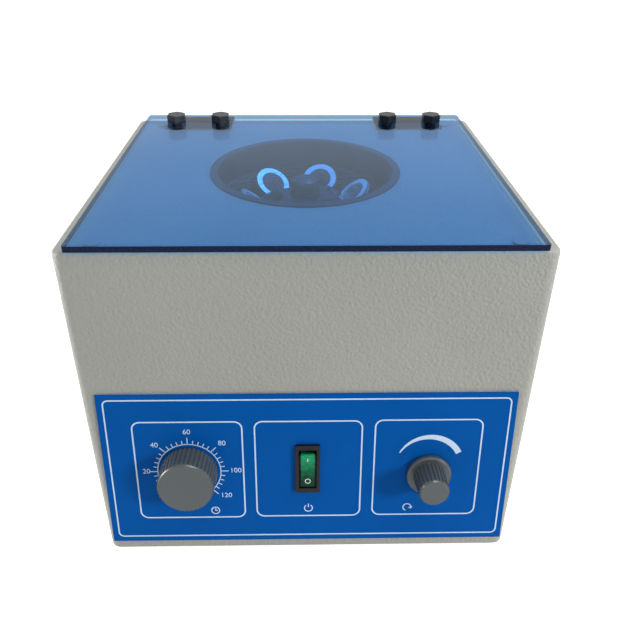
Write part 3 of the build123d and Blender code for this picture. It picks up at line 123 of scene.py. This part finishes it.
# Room and floor: how strongly the room lights the case, and the floor's size in metres, colour and glow
ROOM_LIGHT = 0.34
CORNERS = ((-1, -1), (1, -1), (1, 1), (-1, 1))
FLOOR_REACH = 4.0
FLOOR_COLOUR = (0.82, 0.82, 0.82, 1.0)
FLOOR_GLOW = 0.68
WHITE = (1.0, 1.0, 1.0, 1.0)

# Lamps: name, place and target in metres, side length and power
LAMPS = (
    ("key", (0.35, 0.05, 1.3), (0, 0, 0.12), 0.6, 11.0),
    ("low", (1.75, -1.25, 0.85), (0, 0, 0.08), 0.45, 28.0),
    ("side", (-1.3, 0.1, 0.2), (0, 0, 0.12), 0.6, 20.0),
)


def linear(red, green, blue):
    """A colour given as it looks on a screen, 0 to 255, as the values that shaders take."""

    def one(value):
        value /= 255
        return value / 12.92 if value <= 0.04045 else ((value + 0.055) / 1.055) ** 2.4

    return (one(red), one(green), one(blue), 1.0)


def scaled(colour, factor):
    """The same colour, lighter or darker."""
    return tuple(min(1.0, value * factor) for value in colour[:3]) + (1.0,)


class Shader:
    """A material with one Principled shader, and short calls for the nodes that feed it."""

    def __init__(self, name):
        self.material = bpy.data.materials.new(name)
        self.material.use_nodes = True
        self.tree = self.material.node_tree
        self.tree.nodes.clear()
        self.output = self.add("ShaderNodeOutputMaterial")
        self.principled = self.add("ShaderNodeBsdfPrincipled")
        self.link(self.principled.outputs["BSDF"], self.output.inputs["Surface"])
        self.place = self.add("ShaderNodeTexCoord").outputs["Object"]

    def add(self, kind, **settings):
        node = self.tree.nodes.new(kind)
        for key, value in settings.items():
            setattr(node, key, value)
        return node

    def link(self, start, end):
        self.tree.links.new(start, end)

    def math(self, operation, *values):
        """The result of one sum on numbers or other nodes' outputs."""
        node = self.add("ShaderNodeMath", operation=operation)
        for value, socket in zip(values, node.inputs):
            if isinstance(value, float):
                socket.default_value = value
            else:
                self.link(value, socket)
        return node.outputs["Value"]

    def stretched(self, scale):
        """Object coordinates, stretched along some axes."""
        mapping = self.add("ShaderNodeMapping")
        mapping.inputs["Scale"].default_value = scale
        self.link(self.place, mapping.inputs["Vector"])
        return mapping.outputs["Vector"]

    def noise(self, scale, detail=3.0, roughness=0.5, vector=None):
        node = self.add("ShaderNodeTexNoise")
        node.inputs["Scale"].default_value = scale
        node.inputs["Detail"].default_value = detail
        node.inputs["Roughness"].default_value = roughness
        self.link(vector or self.place, node.inputs["Vector"])
        return node.outputs["Fac"]

    def ramp(self, value, low, high, start=0.3, end=0.7):
        """A colour that runs from low to high as value goes from start to end."""
        node = self.add("ShaderNodeValToRGB")
        node.color_ramp.elements[0].position = start
        node.color_ramp.elements[1].position = end
        node.color_ramp.elements[0].color = low
        node.color_ramp.elements[1].color = high
        self.link(value, node.inputs["Fac"])
        return node.outputs["Color"]

    def spread(self, value, low, high, start=0.3, end=0.7):
        """A number that runs from low to high as value goes from start to end."""
        node = self.add("ShaderNodeMapRange")
        node.inputs["From Min"].default_value = start
        node.inputs["From Max"].default_value = end
        node.inputs["To Min"].default_value = low
        node.inputs["To Max"].default_value = high
        self.link(value, node.inputs["Value"])
        return node.outputs["Result"]

    def bump(self, height, distance, strength=1.0, rounded=0.0):
        """A bumped normal, over edges softened by the given radius."""
        node = self.add("ShaderNodeBump")
        node.inputs["Distance"].default_value = distance
        node.inputs["Strength"].default_value = strength
        self.link(height, node.inputs["Height"])
        if rounded:
            edge = self.add("ShaderNodeBevel", samples=4)
            edge.inputs["Radius"].default_value = rounded
            self.link(edge.outputs["Normal"], node.inputs["Normal"])
        self.link(node.outputs["Normal"], self.principled.inputs["Normal"])

    def set(self, **values):
        """Constant values, set on the shader's own sockets."""
        for key, value in values.items():
            self.principled.inputs[key.replace("_", " ")].default_value = value


def case_paint():
    """Pale grey wrinkle paint: fine pebbled bumps about a millimetre across."""
    shader = Shader("case_paint")
    shade = linear(153, 154, 146)
    cloud = shader.noise(9.0, detail=4.0)
    colour = shader.ramp(cloud, scaled(shade, 0.95), scaled(shade, 1.04))
    shader.link(colour, shader.principled.inputs["Base Color"])
    cells = shader.add("ShaderNodeTexVoronoi", feature="SMOOTH_F1")
    cells.inputs["Scale"].default_value = 560.0
    cells.inputs["Smoothness"].default_value = 0.7
    shader.link(shader.place, cells.inputs["Vector"])
    grain = shader.noise(480.0, detail=4.0, roughness=0.6)
    shader.bump(shader.math("ADD", cells.outputs["Distance"], grain), distance=0.0005, strength=0.75)
    shader.link(shader.spread(grain, 0.42, 0.58), shader.principled.inputs["Roughness"])
    return shader.material


def plain(
    name, shade, roughness, metallic=0.0, grain_scale=700.0, grain=0.00003, tint=0.06, rounded=0.0, **values
):
    """A moulded, painted or metal surface with slight unevenness of colour, gloss and relief."""
    shader = Shader(name)
    cloud = shader.noise(24.0, detail=4.0)
    colour = shader.ramp(cloud, scaled(shade, 1 - tint), scaled(shade, 1 + tint))
    shader.link(colour, shader.principled.inputs["Base Color"])
    fine = shader.noise(grain_scale, detail=3.0, roughness=0.6)
    gloss = shader.spread(fine, roughness * 0.85, min(1.0, roughness * 1.15))
    shader.link(gloss, shader.principled.inputs["Roughness"])
    shader.bump(fine, distance=grain, rounded=rounded)
    shader.set(Metallic=metallic, **values)
    return shader.material


def brushed(name, shade, roughness, direction, metallic=1.0, tint=0.1, scratch=0.00002):
    """Metal with fine lines along one direction: direction is how much the noise is squeezed per axis."""
    shader = Shader(name)
    lines = shader.noise(60.0, detail=5.0, roughness=0.7, vector=shader.stretched(direction))
    cloud = shader.noise(18.0, detail=3.0)
    mixed = shader.math("MULTIPLY", lines, cloud)
    colour = shader.ramp(mixed, scaled(shade, 1 - tint), scaled(shade, 1 + tint), 0.1, 0.4)
    shader.link(colour, shader.principled.inputs["Base Color"])
    gloss = shader.spread(lines, roughness * 0.75, roughness * 1.3)
    shader.link(gloss, shader.principled.inputs["Roughness"])
    shader.bump(lines, distance=scratch)
    shader.set(Metallic=metallic)
    return shader.material


def zinc():
    """Galvanised sheet: a patchwork of large grey crystals."""
    shader = Shader("galvanised")
    cells = shader.add("ShaderNodeTexVoronoi")
    cells.inputs["Scale"].default_value = 120.0
    shader.link(shader.place, cells.inputs["Vector"])
    grey = shader.add("ShaderNodeSeparateColor")
    shader.link(cells.outputs["Color"], grey.inputs["Color"])
    shade = linear(178, 181, 184)
    colour = shader.ramp(grey.outputs["Red"], scaled(shade, 0.8), scaled(shade, 1.1), 0.0, 1.0)
    shader.link(colour, shader.principled.inputs["Base Color"])
    gloss = shader.spread(grey.outputs["Green"], 0.32, 0.5, 0.0, 1.0)
    shader.link(gloss, shader.principled.inputs["Roughness"])
    shader.bump(shader.noise(300.0), distance=0.00002)
    shader.set(Metallic=0.9)
    return shader.material


def clear_lid():
    """Tinted acrylic sheet: clear blue faces that mirror the room, and sawn edges, dark from both sides."""
    shader = Shader("lid_acrylic")
    facing = shader.add("ShaderNodeTexCoord")
    parts = shader.add("ShaderNodeSeparateXYZ")
    shader.link(facing.outputs["Normal"], parts.inputs["Vector"])
    size = shader.math("ABSOLUTE", parts.outputs["Z"])
    side = shader.add("ShaderNodeNewGeometry")
    outside = shader.math("SUBTRACT", 1.0, side.outputs["Backfacing"])
    edge = shader.spread(size, 1.0, 0.0, 0.4, 0.6)
    sawn = shader.math("MULTIPLY", edge, outside)
    edge_inside = shader.math("MULTIPLY", edge, side.outputs["Backfacing"])
    marks = shader.noise(900.0, detail=2.0)
    body = shader.add("ShaderNodeMix", data_type="RGBA")
    shader.link(sawn, body.inputs["Factor"])
    mirrored = shader.ramp(shader.noise(14.0, detail=5.0), linear(236, 240, 246), linear(250, 251, 255))
    shader.link(mirrored, body.inputs["A"])
    shader.link(shader.ramp(marks, linear(10, 16, 44), linear(34, 44, 84), 0.45, 0.8), body.inputs["B"])
    shader.link(body.outputs["Result"], shader.principled.inputs["Base Color"])
    shader.link(shader.math("SUBTRACT", 1.0, sawn), shader.principled.inputs["Metallic"])
    shader.link(shader.spread(sawn, 0.06, 0.4, 0.0, 1.0), shader.principled.inputs["Roughness"])
    shader.bump(marks, distance=0.000002)
    shader.set(Specular_IOR_Level=0.1)
    see_through = shader.add("ShaderNodeBsdfTransparent")
    shader.link(shader.ramp(edge_inside, LID_TINT, LID_EDGE_TINT, 0.0, 1.0), see_through.inputs["Color"])
    slant = shader.add("ShaderNodeLayerWeight")
    steep = shader.math("POWER", slant.outputs["Facing"], 5.0)
    mirror = shader.math("MULTIPLY_ADD", steep, LID_MIRROR, LID_MIRROR_LEAST)
    mix = shader.add("ShaderNodeMixShader")
    shader.link(shader.math("MAXIMUM", mirror, sawn), mix.inputs["Fac"])
    shader.link(see_through.outputs["BSDF"], mix.inputs[1])
    shader.link(shader.principled.outputs["BSDF"], mix.inputs[2])
    shader.link(mix.outputs["Shader"], shader.output.inputs["Surface"])
    return shader.material


def green_rocker():
    """A translucent green lens along a black rocker, with a painted highlight: lighter and uneven towards its top,
    as light falls from above.
    """
    shader = Shader("rocker_green")
    height = shader.add("ShaderNodeSeparateXYZ")
    shader.link(shader.place, height.inputs["Vector"])
    low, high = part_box("power_rocker")
    rise = shader.spread(height.outputs["Z"], 0.0, 1.0, low.z, high.z)
    prism_bumps_and_glints = shader.noise(420.0, detail=2.0, roughness=0.7)
    # Painted highlight: the green runs lighter towards the top and in streaks along the prism bumps, glints of
    # light from above painted into the colour.
    painted_highlight = shader.math("MULTIPLY", rise, prism_bumps_and_glints)
    colour = shader.ramp(painted_highlight, linear(2, 62, 44), linear(20, 172, 112), 0.1, 0.55)
    lens = shader.add("ShaderNodeMix", data_type="RGBA")
    across = shader.math("ABSOLUTE", height.outputs["X"])
    beside = shader.spread(across, 0.0, 1.0, LENS_HALF_WIDTH * MM, (LENS_HALF_WIDTH + 0.2) * MM)
    shader.link(beside, lens.inputs["Factor"])
    shader.link(colour, lens.inputs["A"])
    lens.inputs["B"].default_value = linear(8, 12, 11)
    shader.link(lens.outputs["Result"], shader.principled.inputs["Base Color"])
    shader.bump(prism_bumps_and_glints, distance=0.00003, rounded=0.0004)
    shader.set(Roughness=0.2, Specular_IOR_Level=0.05, Transmission_Weight=0.1)
    return shader.material


FINISHES = {
    "case_paint": case_paint(),
    "galvanised": zinc(),
    "screw_steel": brushed("screw_steel", linear(180, 182, 186), 0.3, (1.0, 1.0, 8.0)),
    "black_steel": plain("black_steel", linear(17, 19, 23), 0.32, rounded=0.0005, Specular_IOR_Level=0.2),
    "rubber": plain("rubber", linear(38, 38, 40), 0.75, grain=0.00006, rounded=0.0004),
    "clear_rubber": plain("clear_rubber", linear(150, 150, 144), 0.5),
    "collar_plastic": plain("collar_plastic", linear(34, 36, 40), 0.5, grain=0.000008, rounded=0.0003),
    "bowl_aluminium": brushed("bowl_aluminium", linear(236, 240, 243), 0.3, (1.0, 1.0, 14.0), metallic=0.5),
    "lid_acrylic": clear_lid(),
    "rotor_alloy": plain("rotor_alloy", linear(62, 64, 68), 0.42, 0.5, rounded=0.0005),
    "cup_alloy": brushed("cup_alloy", linear(222, 226, 229), 0.3, (1.0, 1.0, 6.0), metallic=0.7),
    "motor_steel": plain("motor_steel", linear(96, 99, 104), 0.4, 0.6),
    "motor_alloy": plain("motor_alloy", linear(168, 170, 172), 0.45, 0.9, grain=0.00008),
    "shaft_steel": brushed("shaft_steel", linear(196, 198, 202), 0.16, (1.0, 1.0, 20.0)),
    "laminations": brushed("laminations", linear(110, 110, 112), 0.4, (1.0, 1.0, 40.0), tint=0.25),
    "copper": brushed("copper", linear(190, 104, 62), 0.3, (1.0, 1.0, 30.0), tint=0.2),
    "brass": plain("brass", linear(196, 164, 92), 0.3, 1.0),
    "carbon": plain("carbon", linear(34, 34, 36), 0.6),
    "magnet": plain("magnet", linear(52, 52, 56), 0.5, 0.2),
    "panel_blue": plain(
        "panel_blue",
        linear(2, 82, 160),
        0.4,
        grain_scale=1400.0,
        grain=0.00001,
        tint=0.03,
        Specular_IOR_Level=0.03,
    ),
    "knob_grey": plain("knob_grey", linear(67, 73, 75), 0.34, grain=0.00001, rounded=0.0003),
    "black_plastic": plain(
        "black_plastic", linear(17, 18, 21), 0.35, rounded=0.0004, Specular_IOR_Level=0.2
    ),
    "rocker_green": green_rocker(),
    "board": plain("board", linear(24, 92, 52), 0.35),
    "white_plastic": plain("white_plastic", linear(206, 206, 198), 0.45, rounded=0.0003),
}

for part in frame["record"]["subparts"]:
    mesh = frame["nodes"][part["node"]].data
    mesh.materials.clear()
    mesh.materials.append(FINISHES[part["material_slot"]])


def panel_matrix(lift):
    """Right, up the slope and out of the panel, from the middle of the panel's front face."""
    low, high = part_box("front_panel")
    outward = Vector((0, -math.cos(FRONT_LEAN), math.sin(FRONT_LEAN)))
    upward = Vector((0, math.sin(FRONT_LEAN), math.cos(FRONT_LEAN)))
    sheet = ((high.y - low.y) - (high.z - low.z) * math.tan(FRONT_LEAN)) / (
        math.cos(FRONT_LEAN) - math.sin(FRONT_LEAN) * math.tan(FRONT_LEAN)
    )
    origin = (low + high) / 2 + outward * (sheet / 2 + lift * MM)
    matrix = Matrix((Vector((1, 0, 0)), upward, outward)).transposed().to_4x4()
    matrix.translation = origin
    return matrix


def arc(centre, radius, start, end, count):
    """Points along an arc, from start to end in degrees."""
    points = []
    for index in range(count + 1):
        angle = math.radians(start + (end - start) * index / count)
        points.append((centre[0] + radius * math.cos(angle), centre[1] + radius * math.sin(angle)))
    return points


def rounded_outline(centre, size, radius):
    """The outline of a rectangle with round corners, anticlockwise."""
    points = []
    for corner, (side_u, side_v) in enumerate(((1, 1), (-1, 1), (-1, -1), (1, -1))):
        middle = (
            centre[0] + side_u * (size[0] / 2 - radius),
            centre[1] + side_v * (size[1] / 2 - radius),
        )
        points += arc(middle, radius, corner * 90, corner * 90 + 90, 10)
    return points


def turned(angle):
    """The direction at that angle in degrees."""
    return math.cos(math.radians(angle)), math.sin(math.radians(angle))


def heading(start, end):
    """The angle of the line from start to end, in degrees."""
    return math.degrees(math.atan2(end[1] - start[1], end[0] - start[0]))


class Print:
    """Flat printed marks in millimetres, made into one thin mesh."""

    def __init__(self, name):
        self.name = name
        self.mesh = bmesh.new()

    def strip(self, first, second, closed=False):
        """A ribbon between two rows of points."""
        lower = [self.mesh.verts.new((u, v, 0)) for u, v in first]
        upper = [self.mesh.verts.new((u, v, 0)) for u, v in second]
        count = len(lower)
        for index in range(count if closed else count - 1):
            following = (index + 1) % count
            self.mesh.faces.new((lower[index], lower[following], upper[following], upper[index]))

    def outline(self, centre, size, radius, width):
        """A rounded rectangle drawn as a line."""
        inner_size = (size[0] - 2 * width, size[1] - 2 * width)
        outer = rounded_outline(centre, size, radius)
        inner = rounded_outline(centre, inner_size, radius - width)
        self.strip(outer, inner, closed=True)

    def line(self, start, end, width):
        """A straight stroke."""
        along = Vector((end[0] - start[0], end[1] - start[1])).normalized()
        across = Vector((-along.y, along.x)) * width / 2
        self.strip(
            ((start[0] - across.x, start[1] - across.y), (end[0] - across.x, end[1] - across.y)),
            ((start[0] + across.x, start[1] + across.y), (end[0] + across.x, end[1] + across.y)),
        )

    def curve(self, centre, radius, start, end, width, count=32):
        """An arc drawn as a line."""
        inner = arc(centre, radius - width / 2, start, end, count)
        outer = arc(centre, radius + width / 2, start, end, count)
        self.strip(inner, outer)

    def words(self, text, centre, height):
        """A number, centred on a point."""
        curve = bpy.data.curves.new(self.name + "_text", "FONT")
        curve.body = text
        curve.size = height
        curve.align_x = "CENTER"
        curve.align_y = "CENTER"
        holder = bpy.data.objects.new(self.name + "_text", curve)
        bpy.context.scene.collection.objects.link(holder)
        bpy.context.view_layer.update()
        graph = bpy.context.evaluated_depsgraph_get()
        flat = bpy.data.meshes.new_from_object(holder.evaluated_get(graph))
        flat.transform(Matrix.Translation((centre[0], centre[1], 0)))
        self.mesh.from_mesh(flat)
        bpy.data.objects.remove(holder)
        bpy.data.meshes.remove(flat)

    def finish(self, matrix, body, finish, depth=PRINT_DEPTH):
        """The marks as an object that rides on a body."""
        bmesh.ops.recalc_face_normals(self.mesh, faces=self.mesh.faces)
        made = bmesh.ops.extrude_face_region(self.mesh, geom=list(self.mesh.faces))
        raised = [item for item in made["geom"] if isinstance(item, bmesh.types.BMVert)]
        bmesh.ops.translate(self.mesh, verts=raised, vec=(0, 0, depth))
        bmesh.ops.recalc_face_normals(self.mesh, faces=self.mesh.faces)
        data = bpy.data.meshes.new(self.name)
        self.mesh.to_mesh(data)
        self.mesh.free()
        data.transform(matrix @ Matrix.Scale(MM, 4))
        data.materials.append(finish)
        piece = bpy.data.objects.new(self.name, data)
        bpy.context.scene.collection.objects.link(piece)
        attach(piece, body)
        return piece


def panel_print():
    """The printed lines, the timer's dial, the speed wedge and three plain signs."""
    ink = plain("panel_ink", linear(194, 214, 236), 0.4, grain=0.000004, tint=0.03)
    face = panel_matrix(PRINT_LIFT)

    lines = Print("panel_lines")
    lines.outline(BORDER_CENTRE, BORDER_SIZE, BORDER_RADIUS, LINE_WIDTH)
    for centre, size in FIELDS:
        lines.outline(centre, size, FIELD_RADIUS, LINE_WIDTH)
    lines.finish(face, "case", ink)

    dial = Print("timer_dial")
    end = DIAL_START - DIAL_STEP * DIAL_STEPS
    dial.curve(DIAL_CENTRE, DIAL_RADIUS, end, DIAL_START + DIAL_STEP, DIAL_LINE, count=72)
    for part in range(-DIAL_PARTS, DIAL_STEPS * DIAL_PARTS + 1):
        major = part % DIAL_PARTS == 0
        out_u, out_v = turned(DIAL_START - part * DIAL_STEP / DIAL_PARTS)
        reach = DIAL_RADIUS + (DIAL_TICK if major else DIAL_SMALL_TICK)
        dial.line(
            (DIAL_CENTRE[0] + DIAL_RADIUS * out_u, DIAL_CENTRE[1] + DIAL_RADIUS * out_v),
            (DIAL_CENTRE[0] + reach * out_u, DIAL_CENTRE[1] + reach * out_v),
            DIAL_LINE,
        )
    dial.finish(face, "case", ink)

    numbers = Print("timer_numbers")
    for number, place in DIAL_NUMBERS:
        numbers.words(number, place, NUMBER_HEIGHT)
    numbers.finish(face, "case", ink)

    wedge = Print("speed_wedge")
    edges = []
    for (centre, radius), last in ((WEDGE_OUTER, WEDGE_END), (WEDGE_INNER, WEDGE_INNER_END)):
        edges.append(arc(centre, radius, heading(centre, WEDGE_TIP), heading(centre, last), WEDGE_STEPS))
    wedge.strip(*edges)
    wedge.finish(face, "case", ink)

    signs = Print("panel_signs")
    clock = CLOCK_PLACE
    signs.curve(clock, SIGN_RADIUS, 0, 360, SIGN_LINE)
    long_hand, short_hand = CLOCK_HANDS
    signs.line(clock, (clock[0], clock[1] + SIGN_RADIUS * long_hand), SIGN_LINE)
    signs.line(clock, (clock[0] + SIGN_RADIUS * short_hand, clock[1]), SIGN_LINE)
    power = POWER_PLACE
    signs.curve(power, SIGN_RADIUS, *POWER_ARC, SIGN_LINE)
    low, high = ((power[0], power[1] + SIGN_RADIUS * share) for share in POWER_STROKE)
    signs.line(low, high, SIGN_LINE)
    speed = SPEED_PLACE
    signs.curve(speed, SIGN_RADIUS, *SPEED_ARC, SIGN_LINE)
    tip_u, tip_v = turned(SPEED_ARC[0])
    tip = (speed[0] + SIGN_RADIUS * tip_u, speed[1] + SIGN_RADIUS * tip_v)
    for back_u, back_v in SPEED_BARBS:
        signs.line((tip[0] + back_u, tip[1] + back_v), tip, SIGN_LINE)
    signs.finish(face, "case", ink)


def rocker_marks():
    """A ring on the rocker's lower half and a bar on its upper half."""
    ink = plain("rocker_ink", linear(222, 232, 224), 0.4, grain=0.000004, tint=0.03)
    joint = next(item for item in frame["joints"] if item["child"] == "power_rocker")
    pivot = Vector(joint["pos_m"])
    for name, side in (("rocker_off_mark", -1), ("rocker_on_mark", 1)):
        lean = FRONT_LEAN - ROCKER_TILT - side * ROCKER_TILT
        upward = Vector((0, math.sin(lean), math.cos(lean)))
        outward = Vector((0, -math.cos(lean), math.sin(lean)))
        middle = FRONT_LEAN - ROCKER_TILT
        ridge = pivot + Vector((0, -math.cos(middle), math.sin(middle))) * ROCKER_RISE * MM
        matrix = Matrix((Vector((1, 0, 0)), upward, outward)).transposed().to_4x4()
        matrix.translation = ridge + upward * side * MARK_PLACE * MM + outward * MARK_LIFT * MM
        mark = Print(name)
        if side < 0:
            mark.curve((0, 0), MARK_RADIUS, 0, 360, MARK_LINE)
        else:
            mark.line((0, -MARK_RADIUS), (0, MARK_RADIUS), MARK_LINE)
        mark.finish(matrix, "power_rocker", ink)


def stage():
    """A plain pale floor that looks white and keeps the shadow, under a soft pale room."""
    data = bpy.data.meshes.new("floor")
    corners = [(side_x * FLOOR_REACH, side_y * FLOOR_REACH, 0) for side_x, side_y in CORNERS]
    data.from_pydata(corners, [], [(0, 1, 2, 3)])
    floor = bpy.data.objects.new("floor", data)
    bpy.context.scene.collection.objects.link(floor)
    shader = Shader("floor")
    shader.set(Base_Color=FLOOR_COLOUR, Roughness=0.9, Emission_Color=WHITE)
    glow = shader.spread(seen_rays(shader), 0.0, FLOOR_GLOW, 0.0, 1.0)
    shader.link(glow, shader.principled.inputs["Emission Strength"])
    data.materials.append(shader.material)

    world = bpy.data.worlds.new("studio")
    bpy.context.scene.world = world
    world.use_nodes = True
    tree = world.node_tree
    background = tree.nodes["Background"]
    background.inputs["Color"].default_value = WHITE
    path = tree.nodes.new("ShaderNodeLightPath")
    seen = tree.nodes.new("ShaderNodeMath")
    seen.operation = "MAXIMUM"
    tree.links.new(path.outputs["Is Camera Ray"], seen.inputs[0])
    clear = tree.nodes.new("ShaderNodeMath")
    clear.operation = "MAXIMUM"
    tree.links.new(path.outputs["Is Glossy Ray"], clear.inputs[0])
    tree.links.new(path.outputs["Is Transmission Ray"], clear.inputs[1])
    tree.links.new(clear.outputs["Value"], seen.inputs[1])
    level = tree.nodes.new("ShaderNodeMapRange")
    level.inputs["To Min"].default_value = ROOM_LIGHT
    level.inputs["To Max"].default_value = 1.0
    tree.links.new(seen.outputs["Value"], level.inputs["Value"])
    tree.links.new(level.outputs["Result"], background.inputs["Strength"])


def seen_rays(shader):
    """1 where a surface is seen directly, in a mirror or through glass, and 0 for other light."""
    path = shader.add("ShaderNodeLightPath")
    clear = shader.math("MAXIMUM", path.outputs["Is Glossy Ray"], path.outputs["Is Transmission Ray"])
    return shader.math("MAXIMUM", path.outputs["Is Camera Ray"], clear)


def lamp(name, place, target, size, power):
    """A square soft lamp that points at target."""
    data = bpy.data.lights.new(name, "AREA")
    data.energy = power
    data.size = size
    light = bpy.data.objects.new(name, data)
    light.location = place
    light.rotation_mode = "QUATERNION"
    light.rotation_quaternion = (Vector(target) - Vector(place)).to_track_quat("-Z", "Y")
    bpy.context.scene.collection.objects.link(light)


def camera():
    """The photograph's camera."""
    pitch, yaw, roll = (math.radians(value) for value in (CAMERA_PITCH, CAMERA_YAW, CAMERA_ROLL))
    forward = Vector((math.sin(yaw) * math.cos(pitch), math.cos(yaw) * math.cos(pitch), -math.sin(pitch)))
    level = Vector((math.cos(yaw), -math.sin(yaw), 0))
    above = level.cross(forward)
    right = level * math.cos(roll) + above * math.sin(roll)
    up = above * math.cos(roll) - level * math.sin(roll)
    data = bpy.data.cameras.new("camera")
    data.lens = CAMERA_LENS
    data.clip_start = 0.01
    holder = bpy.data.objects.new("camera", data)
    matrix = Matrix((right, up, -forward)).transposed().to_4x4()
    matrix.translation = CAMERA_PLACE
    holder.matrix_world = matrix
    bpy.context.scene.collection.objects.link(holder)
    bpy.context.scene.camera = holder


panel_print()
rocker_marks()
stage()
for settings in LAMPS:
    lamp(*settings)
camera()
bpy.context.scene.view_settings.view_transform = "Standard"
